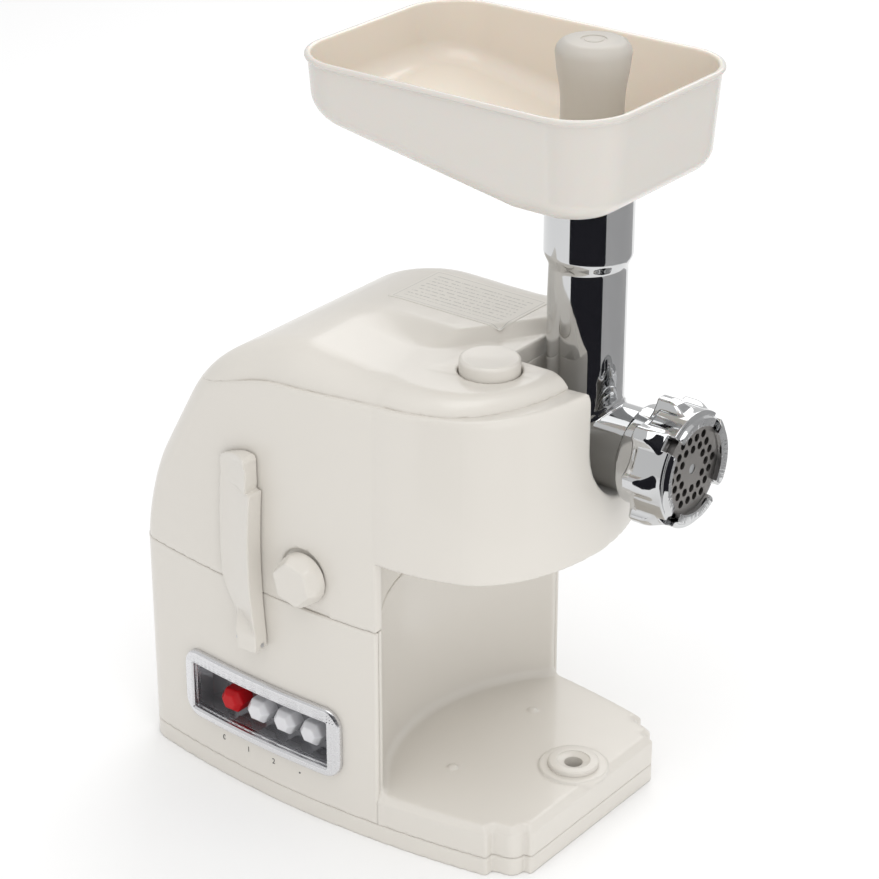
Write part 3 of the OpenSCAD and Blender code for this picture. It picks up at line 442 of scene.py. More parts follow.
CREAM = (0.70, 0.668, 0.615)
MATERIALS = {
    "cream": plastic("cream_plastic", CREAM, 0.31, Coat_Weight=0.25, Coat_Roughness=0.08),
    # The tray's second colour is the painted glow on its inside faces, lighter and warmer than its own
    # colour.
    "tray": tray_plastic_painted_glow("tray_plastic_painted_glow", (0.66, 0.635, 0.59), (0.76, 0.70, 0.61)),
    "milky": plastic("milky_plastic", (0.70, 0.67, 0.62), 0.33, Transmission_Weight=0.4, IOR=1.35),
    "white": plastic("white_plastic", (0.74, 0.74, 0.76), 0.22, Coat_Weight=0.3),
    "red": plastic("red_plastic", (0.48, 0.004, 0.008), 0.34, Specular_IOR_Level=0.25),
    "dark": plastic("dark_plastic", (0.045, 0.045, 0.05), 0.45, 0.1),
    "smoked": plastic("smoked_plastic", (0.38, 0.38, 0.395), 0.09, Metallic=0.7,
                      Coat_Weight=0.6, Coat_Roughness=0.03),
    "rubber": plastic("black_rubber", (0.035, 0.035, 0.035), 0.7, 0.4),
    "label": printed_film("label_film", (0.70, 0.675, 0.625)),
    "nylon": plastic("nylon", (0.78, 0.77, 0.70), 0.4, 0.1),
    "ink": plastic("printed_ink", (0.05, 0.05, 0.05), 0.5, 0.1),
    "chrome": metal("polished_chrome", (0.61, 0.615, 0.62), 0.05, scratch=0, scale=40),
    "silver": metal("satin_silver", (0.72, 0.72, 0.735), 0.26, (0.05, 1, 1), 0.0, 1500),
    "plate": metal("plate_steel", (0.36, 0.345, 0.33), 0.42, scratch=0.15, scale=900),
    "zinc": metal("zinc_steel", (0.58, 0.59, 0.61), 0.38, (1, 6, 1), 0.1, 300),
    "turned": metal("machined_steel", (0.56, 0.56, 0.58), 0.25, (40, 1, 1), 0.08, 120),
    "lamination": metal("laminated_steel", (0.3, 0.31, 0.33), 0.5, (60, 1, 1), 0.4, 60),
    "cast": metal("cast_aluminium", (0.62, 0.63, 0.64), 0.42, scratch=0.25, scale=260),
    "copper": metal("copper_wire", (0.62, 0.27, 0.12), 0.35, (30, 1, 1), 0.4, 80),
    "brass": metal("brass_parts", (0.66, 0.48, 0.24), 0.32, scratch=0.1),
}
SLOT_MATERIALS = {
    "cream_plastic": "cream", "white_plastic": "white", "red_plastic": "red", "milky_plastic": "milky",
    "dark_plastic": "dark", "smoked_plastic": "smoked", "black_rubber": "rubber", "label_film": "label",
    "satin_silver": "silver", "zinc_steel": "zinc", "machined_steel": "turned",
    "laminated_steel": "lamination", "plate_steel": "plate", "polished_chrome": "chrome",
    "cast_aluminium": "cast", "copper_wire": "copper", "brass_parts": "brass", "nylon": "nylon",
}

# ---- Body outlines ----


def bow(x, y, inset=0.0):
    """Strip between the two bowed sides."""
    return np.hypot(x - BOW_X, np.abs(y) + BOW_R - HALF_W) - BOW_R + inset


def column_outline(x, y, inset=0.0):
    """The two bowed sides with the flat rear."""
    return cut(bow(x, y, inset), REAR_X + inset - x, REAR_R - inset)


def bay(x, y, grow=0.0):
    """The round space that the bowl stands in."""
    return np.hypot(x - BAY_X, y) - BAY_R - grow


def base_outline(x, y, inset=0.0):
    """The column's outline, carried on to stepped corners at the bay end."""
    middle = cut(column_outline(x, y, inset), x - NOSE_X + 20 + inset, 1.5)
    corner = cut(cut(bow(x, y, inset + 6), x - NOSE_X + 5 + inset, 6), -x)
    end = cut(np.abs(y) - 64 + inset, x - NOSE_X + inset, 2)
    return join(join(middle, corner, 1), cut(end, -x), 1)


def head_outline(x, y, inset=0.0, front=0.0):
    """Two bowed sides with the rounded nose in front of them, set in by front at the nose's end."""
    nose = np.hypot(x - FACE_X, np.abs(y) + NOSE_SIDE_R - HALF_W + 2.6) - NOSE_SIDE_R + inset
    side = np.where(x < FACE_X, bow(x, y, inset), nose)
    return cut(side, x - NOSE_X + front, NOSE_CORNER_R)


def side_profile(x, z, top):
    """The head's outline seen from the side: an upright, a slope and a large arc into the top."""
    rise, run = math.sin(REAR_LEAN), math.cos(REAR_LEAN)
    slope = (z - REAR_SLOPE_Z) * run - (x - REAR_SLOPE_X) * rise
    mid_z = top - HUMP_R
    u = x - ((mid_z - REAR_SLOPE_Z) * run + HUMP_R) / rise - REAR_SLOPE_X
    v = z - mid_z
    on_arc = (u < 0) & (u * run + v * rise > 0)
    hump = np.where(on_arc, np.hypot(u, v) - HUMP_R, np.maximum(z - top, slope))
    return cut(hump, REAR_X - x, 24)


def trough(x, y, z):
    """The space above the nose's shelf that the grinder lies in."""
    hollow = cut(TROUGH_Y - y, TROUGH_FLOOR_Z - z, TROUGH_R)
    return cut(hollow, TROUGH_X - x, 2)


# ---- Lower body ----


def base_plate_shape(x, y, z):
    """A shallow tub with recesses for the feet and slots for air."""
    tub = cut(base_outline(x, y), np.abs(z - SEAM_Z / 2) - SEAM_Z / 2 + 0.08, 0.6)
    tub = carve(tub, cut(base_outline(x, y, WALL), WALL - z))
    for side in (-1, 1):
        for foot_x in (-112, 118):
            tub = carve(tub, rod(x - foot_x, y - side * 58, z, 9.3, -4, 1.6))
    slots = np.abs((x + 50 + 6) % 12 - 6) - 2
    slots = cut(slots, np.abs(x + 48) - 34)
    return carve(tub, np.maximum(slots, np.maximum(np.abs(y) - 30, z - 8)), 0.5)


def bay_floor_shape(x, y, z):
    """Floor of the bay, its skirt and the wall that curves round the bowl."""
    floor = chamfer(base_outline(x, y), z - DECK_Z, 4)
    floor = cut(floor, SEAM_Z + 0.08 - z, 0.5)
    inside = np.maximum(column_outline(x, y, WALL + 0.2), bay(x, y, WALL))
    floor = np.maximum(floor, np.minimum(FACE_X - x, inside))
    wall = cut(column_outline(x, y, WALL + 0.15), x - FACE_X, 0.6)
    wall = cut(carve(wall, bay(x, y), 1.2), bay(x, y, WALL))
    wall = cut(wall, np.abs(z - (SEAM_Z + SPLIT_Z) / 2) - (SPLIT_Z - SEAM_Z) / 2 + 0.15, 0.5)
    made = join(floor, wall, 5)
    made = carve(made, np.maximum(cut(base_outline(x, y, WALL), z - DECK_Z + 6), FACE_X + 2 - x))
    made = join(made, rod(x - PIVOT_X, y - PIVOT_Y, z, 21, DECK_Z - 3, DECK_Z + 1.6, 0.8), 0.6)
    for side in (-1, 1):
        made = join(made, rod(x - 67.5, y - side * 41 - 1.5, z, 3, DECK_Z - 1, DECK_Z + 1.4, 1), 0.6)
    return carve(made, np.hypot(x - PIVOT_X, y - PIVOT_Y) - 9.2)


def column_shell_shape(x, y, z):
    """Walls of the lower body, with its window, vents, inlet and lug."""
    outer = cut(column_outline(x, y), x - FACE_X, 1.2)
    outer = cut(outer, np.abs(z - (SEAM_Z + SPLIT_Z) / 2) - (SPLIT_Z - SEAM_Z) / 2 + 0.12, 0.5)
    shell = carve(outer, column_outline(x, y, WALL))
    rear_top = cut(cut(outer, x - REAR_X - 30), SPLIT_Z - 3.4 - z)
    shell = join(shell, rear_top, 0.5)
    x0, x1, z0, z1 = WINDOW
    shell = carve(shell, block(x, y, z, (x0 - 3, -200, z0 - 3), (x1 + 3, 0, z1 + 3)))
    for side in (-1, 1):
        low = (HINGE_X - 9.5, side * BRACKET_Y - BRACKET_HALF, 100)
        high = (HINGE_X + 9.5, side * BRACKET_Y + BRACKET_HALF, 170)
        shell = carve(shell, block(x, y, z, low, high))
    shell = carve(shell, rod(y - 25, z - 40, x, 6.2, REAR_X - 5, REAR_X + 8))
    vents = np.maximum(np.abs((z - 71.5 + 4) % 8 - 4) - 1.5, np.abs(z - 95.5) - 28)
    shell = carve(shell, cut(np.maximum(vents, np.abs(y) - 28), x - REAR_X - 10), 0.5)
    u, v = y - LEVER_PIN_Y, z - LEVER_PIN_Z
    lug = rod(u, v, x, 3.6, LUG_X0, LUG_X1, 0.5)
    low, high = (LUG_X0, LEVER_PIN_Y, LEVER_PIN_Z - 3.6), (LUG_X1, -HALF_W + 3, LEVER_PIN_Z + 3.6)
    shell = join(shell, join(lug, block(x, y, z, low, high, 0.5)), 0.5)
    return carve(shell, rod(u, v, x, 1.6, LUG_X0 - 1, LUG_X1 + 1))


def lower_body():
    """Base plate, bay, column shell and the disc under the bowl."""
    low, high = (REAR_X, -HALF_W, 0), (NOSE_X, HALF_W, SEAM_Z)
    piece = moulded("base_plate_shell", base_plate_shape, low, high, 1.4)
    fit(thin(piece, 0.5), "base", "cream", "base_plate")
    low, high = (10, -HALF_W, SEAM_Z), (NOSE_X, HALF_W, SPLIT_Z)
    piece = moulded("bay_floor_and_wall", bay_floor_shape, low, high, 1.3)
    fit(thin(piece, 0.5), "base", "cream", "bay_floor", "bay_wall")
    low, high = (REAR_X, -HALF_W - 8, SEAM_Z), (FACE_X, HALF_W, SPLIT_Z)
    piece = moulded("column_side_shell", column_shell_shape, low, high, 1.3)
    fit(thin(piece, 0.5), "base", "cream", "column_shell")
    disc = [(9.0, 24), (9.0, DECK_Z + 1.5)]
    disc += [(15.4, DECK_Z + 1.7)] + arc((14.2, PIVOT_TOP - 1.2), 1.2, 0, 90)
    disc += arc((9.4, PIVOT_TOP), 0.8, 360, 270, 3) + [(8.6, PIVOT_TOP - 1.2), (6.6, PIVOT_TOP - 1.2)]
    disc += [(5.6, PIVOT_TOP - 1.8), (5.5, 24)]
    piece = turned("bowl_pivot_disc", disc + [disc[0]], (PIVOT_X, PIVOT_Y, 0))
    fit(piece, "base", "cream", "bowl_pivot")


# ---- Tilting head ----


def ledge(x):
    """Height of the ledge that runs round the top, falling away towards the rear."""
    return LEDGE_Z - 2 + 0.055 * x - 13 * step_up(-x, 15, 90)


def top_height(x, y):
    """Height of the top: a flat nose, a raised block behind it and a ramp on the near side."""
    across = (x - 42) * 0.845 - (y + 38.7) * 0.534
    raised = 1 - step_up(across, -9, 1)
    ramp = 1 - step_up(x + 0.15 * (y + 60), -28, 44)
    near = step_up(-y, 8, 34)
    return NOSE_TOP_Z + (TOP_Z - NOSE_TOP_Z) * (raised * (1 - near) + ramp * near)


def head_parts(x, y, z):
    """The sides up to the ledge, and the set-in top that stands on them."""
    fade = step_up(x, -75, -25)
    edge = REAR_R - 2 * step_up(z, 165, 215) + 8 * step_up(x, -80, -30) - 7 * step_up(x, 20, 90)
    edge = edge + 20 * step_up(y, 0, 50) * step_up(z, 200, 260)
    crown = side_profile(x, z, top_height(x, y))
    sides = cut(cut(head_outline(x, y), crown, edge), z - ledge(x), 0.4 + 0.6 * fade)
    top = cut(head_outline(x, y, 0.2 + 2.6 * fade, 14.5), crown, edge)
    return sides, top


def head_openings(whole, x, y, z):
    """The underside, the slot in the post, the heel and the trough, worked into a shape."""
    post = cut(SPLIT_Z + 0.12 - z, np.maximum(x - FACE_X, -bay(x, y)), 1.2)
    whole = cut(whole, join(NOSE_Z - z, post, 1.5), 0.7)
    slot = block(x, y, z, (FACE_X - 24, -82, SPLIT_Z + 4), (FACE_X + 2, -73, SPLIT_Z + 38), 3)
    whole = carve(whole, np.maximum(slot, bay(x, y) - 6), 0.8)
    heel = cut(REAR_X - x, SPLIT_Z + 0.12 - z, HINGE_X - REAR_X)
    return carve(np.maximum(whole, heel), trough(x, y, z), 1.2)


def head_shape(x, y, z):
    """The whole outside of the head."""
    sides, top = head_parts(x, y, z)
    return head_openings(join(sides, top, 0.3), x, y, z)


def head_inside(x, y, z):
    """The hollow of the head, open below."""
    return head_shape(x, y, np.maximum(z, SPLIT_Z + 12)) + WALL


def head_shell_shape(x, y, z):
    """Sides of the head, open where the cover stands."""
    shell = carve(head_openings(head_parts(x, y, z)[0], x, y, z), head_inside(x, y, z))
    for side in (-1, 1):
        start, end = side * BRACKET_Y - BRACKET_HALF - 0.6, side * BRACKET_Y + BRACKET_HALF + 0.6
        pocket = rod(x - HINGE_X, z - HINGE_Z, y, HINGE_X - REAR_X + 2.4, start, end)
        shell = carve(shell, np.maximum(pocket, z - HINGE_Z), 0.3)
    shell = carve(shell, rod(y - AXIS_Y, z - AXIS_Z, x, 13, TROUGH_X - 6, TROUGH_X + 6), 0.8)
    for node in ("near_beater_spindle", "far_beater_spindle"):
        low, high = box_mm(node)
        u, v = x - (low[0] + high[0]) / 2, y - (low[1] + high[1]) / 2
        shell = carve(shell, rod(u, v, z, 6.3, 180, 195), 0.6)
    seat = rod(x - KNOB_X + 1.6, z - KNOB_Z - 1.6, y, 15.6, -HALF_W - 5, -HALF_W + 1.4)
    shell = carve(shell, seat, 0.4)
    shell = carve(shell, rod(x - KNOB_X, z - KNOB_Z, y, 5.3, -HALF_W - 5, -HALF_W + 9))
    low, high = (KNOB_X - 13.6, -HALF_W - 5, SPLIT_Z - 5), (KNOB_X + 17, -HALF_W + 1.2, SPLIT_Z + 3.6)
    return carve(shell, block(x, y, z, low, high), 0.4)


def top_cover_shape(x, y, z):
    """The top, whose lower edge is let into the sides."""
    shell = carve(head_openings(head_parts(x, y, z)[1], x, y, z), head_inside(x, y, z))
    shell = np.maximum(shell, ledge(x) - 0.9 - z)
    across = np.hypot(x - BUTTON_X, y - BUTTON_Y)
    well = rod(x - BUTTON_X, y - BUTTON_Y, z, BUTTON_R + 3, NOSE_TOP_Z - 20, NOSE_TOP_Z - 1)
    shell = join(shell, well)
    shell = carve(shell, np.maximum(across - BUTTON_R - 0.8, NOSE_TOP_Z - 17 - z), 0.5)
    return carve(shell, across - 4.4)


def eject_button_shape(x, y, z):
    """A round cap with a shallow dish, on a stem that ends in the bar over the two spindles."""
    u, v = x - BUTTON_X, y - BUTTON_Y
    foot = box_mm("eject_button")[0][2]
    around = np.hypot(u, v)
    cap = rod(u, v, z, BUTTON_R, NOSE_TOP_Z - 11, BUTTON_TOP, 2.4)
    cap = np.maximum(cap, 240 - np.hypot(around, BUTTON_TOP + 239.3 - z))
    cap = carve(cap, cut(around - BUTTON_R + 2, z - NOSE_TOP_Z))
    stem = rod(u, v, z, 4.2, foot, NOSE_TOP_Z + 1)
    bar = block(u, v, z, (-4, -19, foot), (4, 19, foot + 4.1), 0.5)
    return np.minimum(np.minimum(cap, stem), bar)


def label_sheet():
    """A thin printed film that follows the top."""
    low, high = box_mm("label_panel")
    x, y = np.meshgrid(np.linspace(low[0], high[0], 56), np.linspace(low[1], high[1], 34), indexing="ij")
    flat = np.stack([x.ravel(), y.ravel(), np.full(x.size, TOP_Z)], axis=1)
    sheets = [settle(flat, lambda x, y, z: head_shape(x, y, z) - rise)[0] for rise in (-0.2, 0.25)]
    rows, columns = x.shape
    number = np.arange(x.size).reshape(rows, columns)
    corners = number[:-1, :-1], number[1:, :-1], number[1:, 1:], number[:-1, 1:]
    top = np.stack([c.ravel() for c in corners], axis=1)
    edge = np.concatenate([number[:-1, 0], number[-1, :-1], number[:0:-1, -1], number[0, :0:-1]])
    ahead = np.roll(edge, -1)
    side = np.stack([edge, ahead, ahead + x.size, edge + x.size], axis=1)
    faces = np.concatenate([top[:, ::-1], top + x.size, side])
    mesh = bpy.data.meshes.new("label_film")
    mesh.from_pydata((np.concatenate(sheets) * MM).tolist(), [], faces.tolist())
    mesh.validate()
    mesh.shade_smooth()
    mesh.set_sharp_from_angle(angle=math.radians(40))
    return fit(placed("label_film", mesh), "head", "label", "label_panel")


def head():
    """Side shell, cover, label film and eject button."""
    low, high = (REAR_X, -HALF_W, SPLIT_Z), (NOSE_X, HALF_W, LEDGE_Z + 6)
    piece = moulded("head_side_shell", head_shell_shape, low, high, 1.4)
    fit(thin(piece, 0.45), "head", "cream", "head_shell", "head_bay_wall", "nose_floor")
    low, high = (-100, -HALF_W, LEDGE_Z - 22), (NOSE_X, HALF_W, TOP_Z)
    piece = moulded("top_cover_shell", top_cover_shape, low, high, 1.2)
    fit(thin(piece, 0.45), "head", "cream", "top_cover")
    label_sheet()
    low, high = box_mm("eject_button")
    piece = moulded("eject_button_cap", eject_button_shape, low, high, 0.7)
    fit(thin(piece, 0.6), "button", "cream", "eject_button")


# ---- Controls ----


def lever_shape(x, y, z):
    """A bent wing that rises towards its front edge and ends in a curled lip."""
    bend = 2.4 * np.clip(1 - ((z - 165) / 50) ** 2, 0, 1)
    right = LEVER_X1 - 0.3 - bend - 3.6 * step_up(z, 210.8, 211.6)
    left = LEVER_X0 + 0.3 + 12.5 * step_up(150 - z, 0, 40) - bend
    run = np.clip((x - left) / (right - left), 0, 1)
    outward = -HALF_W - SKIN_GAP - y
    crown = 1 - 0.5 * ((z - 172) / 96) ** 2
    top = z - LEVER_Z1 + 9 * (1 - run) ** 2 + 4 * np.clip(run - 0.7, 0, 1)
    lip = 1.8 * (1 - step_up(-top, 3, 8)) * run ** 0.5
    height = (0.5 + 12.3 * run ** 1.4) * crown + lip
    height = np.maximum(height, 10.4 * step_up(132 - z, 0, 16) * step_up(x, left + 0.5, left + 6))
    wing = cut(outward - height, -outward, 0.3)
    ends = np.maximum(top, LEVER_Z0 - z)
    wing = cut(wing, cut(np.maximum(left - x, x - right), ends, 3), 0.8)
    low, high = (LUG_X0 - 1, LEVER_PIN_Y - 4.1, LEVER_Z0 - 4), (LUG_X1 + 1, 200, LEVER_Z0 + 9.5)
    wing = carve(wing, block(x, y, z, low, high), 0.5)
    u, v = y - LEVER_PIN_Y, z - LEVER_PIN_Z
    return carve(wing, np.maximum(np.maximum(v, -u), 4.3 - np.hypot(u, v)))


def knob_shape(x, y, z):
    """A round knob with six flats and a stem."""
    u, v = x - KNOB_X, z - KNOB_Z
    depth = -HALF_W - SKIN_GAP - y
    made = rod(u, v, depth, 16, 0, 13, 1.2)
    for k in range(6):
        turn = math.radians(60 * k + 15)
        reach = u * math.cos(turn) + v * math.sin(turn)
        made = cut(made, (reach - 15) * 0.9135 + (depth - 6) * 0.4067, 0.8)
    return join(made, rod(u, v, y, 5, -HALF_W - 1, -HALF_W + 10))


def frame_gap(u, v, box, r):
    """Distance from a rectangle with rounded corners."""
    x0, x1, z0, z1 = box
    a = np.abs(u - (x0 + x1) / 2) - (x1 - x0) / 2 + r
    b = np.abs(v - (z0 + z1) / 2) - (z1 - z0) / 2 + r
    return np.hypot(np.maximum(a, 0), np.maximum(b, 0)) + np.minimum(np.maximum(a, b), 0) - r


def bezel_shape(x, y, z):
    """A frame round the window: a rounded outer band with fine ribs and a thin bevel inside."""
    outline = frame_gap(x, z, (BEZEL_X0, BEZEL_X1, BEZEL_Z0, BEZEL_Z1), 12)
    window = frame_gap(x, z, WINDOW, 0.6)
    inner = (window > 1.8) & (outline < -1.8)
    ribs = 0.15 * (1 + np.sin((z - BEZEL_Z1) * math.pi)) * (inner & (z > WINDOW[3] + 1))
    bars = 0.15 * (1 + np.sin((x - BEZEL_X1) * math.pi * 0.9)) * (inner & (x > WINDOW[1] + 1))
    band = cut(cut(outline, bow(x, y) - 3.9 + ribs + bars, 2.2), -bow(x, y))
    band = chamfer(band, -window, 1.2)
    collar = (WINDOW[0] - 3, WINDOW[1] + 3, WINDOW[2] - 3, WINDOW[3] + 3)
    neck = np.maximum(frame_gap(x, z, collar, 0.5), np.abs(bow(x, y) + WALL / 2) - WALL / 2)
    return carve(np.minimum(band, neck), window)


def key_shape(x, y, z):
    """A six-sided stem with a low faceted crown."""
    u, v = np.abs(x), np.abs(z - KEY_Z)
    slant = math.atan2(7.4, 8.6 * 0.45)
    side = (u - 8.6) * math.sin(slant) + v * math.cos(slant)
    outline = cut(side, v - 7.4, 0.8)
    front = -HALF_W + 2.5
    crown = outline * 0.76 + (front + 3.6 - y) * 0.65
    made = cut(cut(outline, crown, 0.6), front + 0.15 - y, 0.6)
    made = cut(made, y + HALF_W - 20)
    tail = block(x, y, z, (-3, -HALF_W + 18, KEY_Z - 3), (3, -HALF_W + 28, KEY_Z + 3), 0.3)
    return np.minimum(made, tail)


def controls():
    """Lever, knob, bezel and the four keys."""
    low, high = (LEVER_X0, -HALF_W - 15, LEVER_Z0), (LEVER_X1, -HALF_W, LEVER_Z1)
    piece = moulded("side_lever", lever_shape, low, high, 0.7)
    fit(thin(piece, 0.5), "lever", "cream", "lock_lever")
    low, high = (KNOB_X0, -HALF_W - 14, KNOB_Z0), (KNOB_X1, -HALF_W + 10, KNOB_Z1)
    piece = moulded("release_knob_cap", knob_shape, low, high, 0.6)
    fit(piece, "knob", "cream", "release_knob")
    low, high = (BEZEL_X0, BEZEL_Y0, BEZEL_Z0), (BEZEL_X1, -HALF_W + 12, BEZEL_Z1)
    piece = moulded("control_bezel_frame", bezel_shape, low, high, 0.4)
    fit(thin(piece, 0.6), "base", "silver", "control_bezel")
    for k, (name, material) in enumerate((("off_key", "red"), ("speed_1_key", "white"),
                                          ("speed_2_key", "white"), ("pulse_key", "white"))):
        low, high = (-9, -HALF_W + 2, KEY_Z - 8), (9, -HALF_W + 28, KEY_Z + 8)
        piece = moulded(name + "_cap", key_shape, low, high, 0.5)
        piece.data.transform(Matrix.Translation(((KEY_X0 + k * KEY_PITCH) * MM, 0, 0)))
        fit(thin(piece, 0.6), name, material, name)


def marks():
    """Plain numbers and a dot printed below the keys."""
    for k, word in enumerate(("0", "1", "2", "•")):
        curve = bpy.data.curves.new("mark_" + str(k), "FONT")
        curve.body = word
        curve.align_x = "CENTER"
        curve.size = 5.2 * MM
        curve.extrude = 0.06 * MM
        made = placed("mark_" + str(k), curve)
        mark_x = KEY_X0 - 4.5 + k * KEY_PITCH
        drop = (mark_x - BOW_X) ** 2 / (2 * BOW_R)
        made.location = (mark_x * MM, (-HALF_W + drop - 0.06) * MM, 25.5 * MM)
        made.rotation_euler = (math.radians(90), 0, (BOW_X - mark_x) / BOW_R)
        made.data.materials.append(MATERIALS["ink"])
        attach(made, "base")


# ---- Grinder ----


def grinder_shape(x, y, z):
    """Barrel, feed tube and the collar where they meet."""
    v, w = y - AXIS_Y, z - AXIS_Z
    across = np.hypot(v, w)
    barrel = rod(v, w, x, 25, BARREL_X0, BARREL_X1 - 2, 1)
    barrel = join(barrel, rod(v, w, x, 29.4, 150, BARREL_X1, 1.5), 1.5)
    tube_r = TUBE_R + (FLARE_R - TUBE_R) * step_up(z, FLARE_Z - 9, FLARE_Z)
    around = np.hypot(x - TUBE_X, v)
    tube = cut(cut(around - tube_r, z - TUBE_TOP, 0.8), AXIS_Z - z)
    collar = cut(around - TUBE_R - 1.2, across - 27.5, 0.8)
    made = join(join(barrel, tube, 1), cut(collar, AXIS_Z - z), 0.6)
    made = carve(made, cut(across - 22.5, BARREL_X0 + 4 - x), 0.5)
    made = carve(made, rod(v, w, x, 8.05, BARREL_X0 - 5, BARREL_X0 + 8))
    made = carve(made, cut(across - 27.5, BARREL_X1 - 2 - x))
    bore = np.where(z > FLARE_Z + 6, SPOUT_R + 0.15, TUBE_R - 2)
    return carve(made, cut(around - bore, AXIS_Z - z), 0.4)


def ring_shape(x, y, z):
    """A ring nut with eight peaks between scooped grooves, a cone in front and four notches."""
    v, w = y - AXIS_Y, z - AXIS_Z
    across = np.hypot(v, w)
    turn = np.arctan2(w, v)
    pitch = math.pi / 4
    local = np.abs(turn % pitch - pitch / 2)
    groove = np.hypot(across * np.cos(local) - 49, across * np.sin(local)) - 16.2
    cone = (across - 39) * 0.894 + (x - RING_X0 - 10.5) * 0.447
    lobes = cut(cut(across - 39, cone, 1.5), RING_X0 - x, 1)
    lobes = carve(lobes, groove, 1.4)
    rim = rod(v, w, x, 34.6, RING_X0 + 4, RING_X1, 0.9)
    made = join(lobes, rim, 0.8)
    made = carve(made, cut(across - 29.6, x - RING_X1 + 1.45))
    made = carve(made, across - 26, 0.4)
    quarter = turn % (math.pi / 2) - math.pi / 4
    notch = cut(np.abs(across * np.sin(quarter)) - 4.5, RING_X1 - 5 - x)
    return carve(made, cut(notch, 20 - across), 0.4)


def tray_outline(x, y):
    """The rim seen from above."""
    middle = ((TRAY_X0 + TRAY_X1) / 2, (TRAY_Y0 + TRAY_Y1) / 2)
    size = ((TRAY_X1 - TRAY_X0) / 2, (TRAY_Y1 - TRAY_Y0) / 2)
    a = np.abs(x - middle[0]) - size[0] + TRAY_CORNER_R
    b = np.abs(y - middle[1]) - size[1] + TRAY_CORNER_R
    return np.hypot(np.maximum(a, 0), np.maximum(b, 0)) + np.minimum(np.maximum(a, b), 0) - TRAY_CORNER_R


def tray_shape(x, y, z):
    """A tray with a sloping floor, a rolled rim and a spout."""
    outline = tray_outline(x, y)
    fall = 0.173 * np.maximum(102.5 - x, 0)
    floor = (TUBE_TOP + 2 + fall - z) * 0.985
    sides = outline + 1.6 + 0.075 * (RIM_Z - z)
    outer = cut(sides, floor, 13)
    around = np.hypot(x - TUBE_X, y - AXIS_Y)
    outer = join(outer, rod(x - TUBE_X, y - AXIS_Y, z, FLARE_R, TUBE_TOP, TUBE_TOP + 10, 0.6), 2)
    bowl = cut(sides, floor, 13) + 2.2
    made = carve(np.maximum(outer, z - RIM_Z + 0.4), bowl, 0.3)
    lip = np.hypot(np.minimum(np.abs(outline + 1.6), 9), z - RIM_Z + 1.6) - 1.6
    made = join(made, lip, 0.8)
    made = np.minimum(made, rod(x - TUBE_X, y - AXIS_Y, z, SPOUT_R, SPOUT_Z, TUBE_TOP + 3, 0.6))
    return carve(made, around - SPOUT_BORE, 0.6)


def grinder():
    """Barrel with its tube, ring nut, tray and pusher."""
    low, high = (BARREL_X0, AXIS_Y - 30, AXIS_Z - 30), (BARREL_X1, AXIS_Y + 30, TUBE_TOP)
    piece = moulded("grinder_tube_and_barrel", grinder_shape, low, high, 0.9)
    fit(piece, "grinder", "chrome", "grinder_body")
    low, high = (RING_X0, RING_Y0, RING_Z0), (RING_X1, RING_Y1, RING_Z1)
    piece = moulded("ring_nut_lobed", ring_shape, low, high, 0.4)
    fit(piece, "nut", "chrome", "ring_nut")
    low, high = (TRAY_X0, TRAY_Y0, SPOUT_Z), (TRAY_X1, TRAY_Y1, RIM_Z)
    piece = moulded("feed_tray_moulded", tray_shape, low, high, 1.0)
    fit(thin(piece, 0.4), "tray", "tray", "feed_tray")
    foot = [(0.3, FOOT_Z), (18.6, FOOT_Z)] + arc((18.6, FOOT_Z + 1.4), 1.4, 270, 360, 4)
    foot += [(20, FOOT_Z + 12), (19.2, FOOT_Z + 16), (17.7, FOOT_Z + 21), (17.6, 425)]
    foot += [(17.6, 440), (17.9, 446), (18.8, 453), (20.0, 459.5)]
    head_r = (PUSHER_X1 - PUSHER_X0) / 2
    top = PUSHER_TOP - 0.5
    foot += arc((head_r - 7, top - 7), 7, 0, 90, 9)
    foot += [(7.2, top + 0.25), (6.9, top - 0.25), (5.4, top - 0.25), (5.1, top + 0.1), (0.3, top + 0.1)]
    piece = turned("pusher_turned", foot, (TUBE_X, AXIS_Y, 0))
    fit(piece, "pusher", "milky", "pusher")


# ---- Carried-over CAD nodes ----


def finish_nodes():
    """Fine bevels and a material on each CAD node that still shows."""
    for name, node in frame["nodes"].items():
        node.data.materials.clear()
        node.data.materials.append(MATERIALS[SLOT_MATERIALS[SLOTS[name]]])
        modifier = node.modifiers.new("edge", "BEVEL")
        modifier.width = 0.25 * MM
        modifier.segments = 2
        modifier.limit_method = "ANGLE"
        modifier.angle_limit = math.radians(40)
        modifier.harden_normals = False


# ---- Studio ----


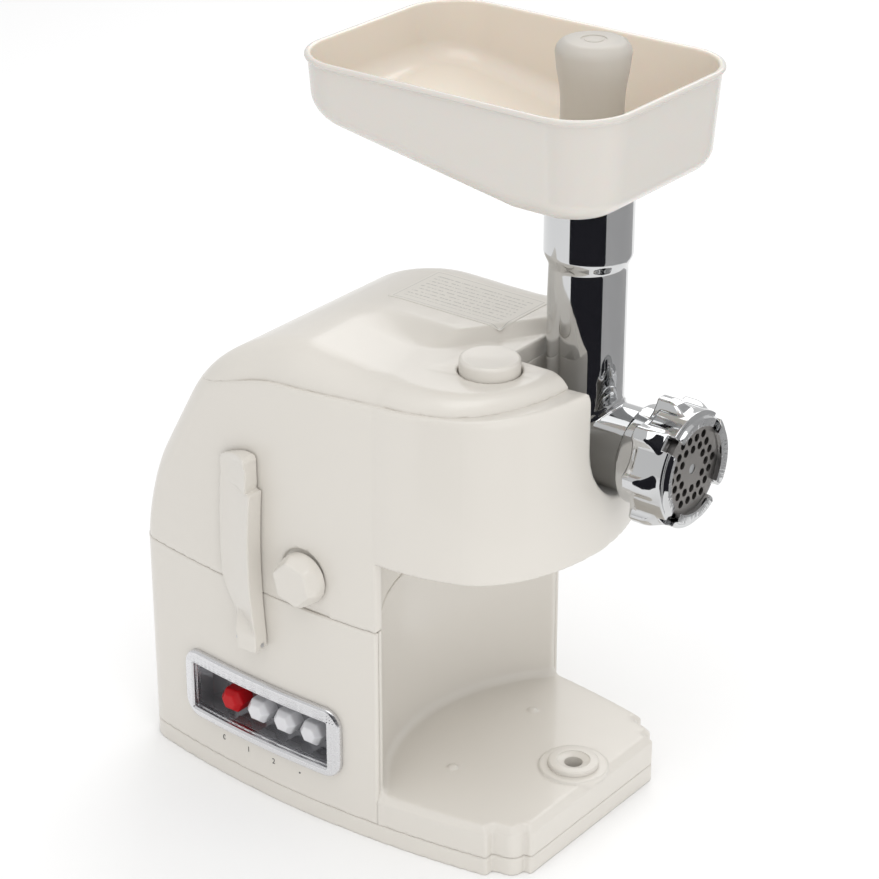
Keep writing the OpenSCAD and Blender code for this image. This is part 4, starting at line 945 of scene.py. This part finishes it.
def studio():
    """A pale floor, an even sky, three soft lamps and two cards for the chrome."""
    floor = bpy.data.meshes.new("studio_floor")
    floor.from_pydata([(-4, -4, 0), (4, -4, 0), (4, 4, 0), (-4, 4, 0)], [], [(0, 1, 2, 3)])
    ground = placed("studio_floor", floor)
    surface = Shader("studio_floor", Roughness=0.9, Specular_IOR_Level=0.0)
    surface.main.inputs["Base Color"].default_value = (0.95, 0.95, 0.95, 1)
    ground.data.materials.append(surface.material)
    world = bpy.data.worlds.new("studio")
    world.use_nodes = True
    world.node_tree.nodes["Background"].inputs["Color"].default_value = (1, 1, 1, 1)
    world.node_tree.nodes["Background"].inputs["Strength"].default_value = 0.75
    bpy.context.scene.world = world
    bpy.context.scene.view_settings.view_transform = "Standard"
    lamp("key_light", (0.5, -0.7, 2.2), (0, 0, 0.2), 1.8, 15)
    lamp("front_light", (1.6, -0.8, 0.55), (0, 0, 0.15), 1.2, 5.5)
    lamp("back_light", (-0.5, 1.5, 1.9), (0, 0, 0.3), 1.6, 14)
    card("dark_card", 267, 353, 0.02)
    card("grey_card", 353, 430, 0.5)


def card(name, start, end, tone, radius=0.5, height=0.9):
    """A curved card, seen only in reflections. Angles are compass angles from +X."""
    angles = np.radians(np.linspace(start, end, 24))
    points, faces = [], []
    for k, a in enumerate(angles):
        points += [(radius * math.cos(a), radius * math.sin(a), z) for z in (0.02, height)]
        if k:
            faces.append((2 * k - 2, 2 * k, 2 * k + 1, 2 * k - 1))
    mesh = bpy.data.meshes.new(name)
    mesh.from_pydata(points, [], faces)
    made = placed(name, mesh)
    shade = Shader(name, Roughness=0.9, Specular_IOR_Level=0.0)
    shade.main.inputs["Base Color"].default_value = (tone, tone, tone + 0.005, 1)
    mesh.materials.append(shade.material)
    made.visible_camera = False
    made.visible_diffuse = False
    made.visible_shadow = False
    made.visible_transmission = False


def lamp(name, place, target, size, power):
    """A square soft light that faces a point."""
    light = bpy.data.lights.new(name, "AREA")
    light.size = size
    light.energy = power
    made = placed(name, light)
    made.location = place
    direction = np.array(target) - np.array(place)
    away = math.hypot(direction[0], direction[1])
    heading = math.atan2(direction[1], direction[0]) - math.pi / 2
    made.rotation_euler = (math.atan2(away, -direction[2]), 0, heading)


def camera():
    """The camera stands to the front right, above the machine."""
    lens = bpy.data.cameras.new("camera")
    lens.lens = 110.06
    lens.sensor_width = 36
    made = placed("camera", lens)
    made.location = (0.8941, -1.1294, 0.9113)
    made.rotation_euler = (math.radians(64.22), 0, math.radians(37.51))
    bpy.context.scene.camera = made


camera()
studio()
finish_nodes()
lower_body()
head()
controls()
marks()
grinder()
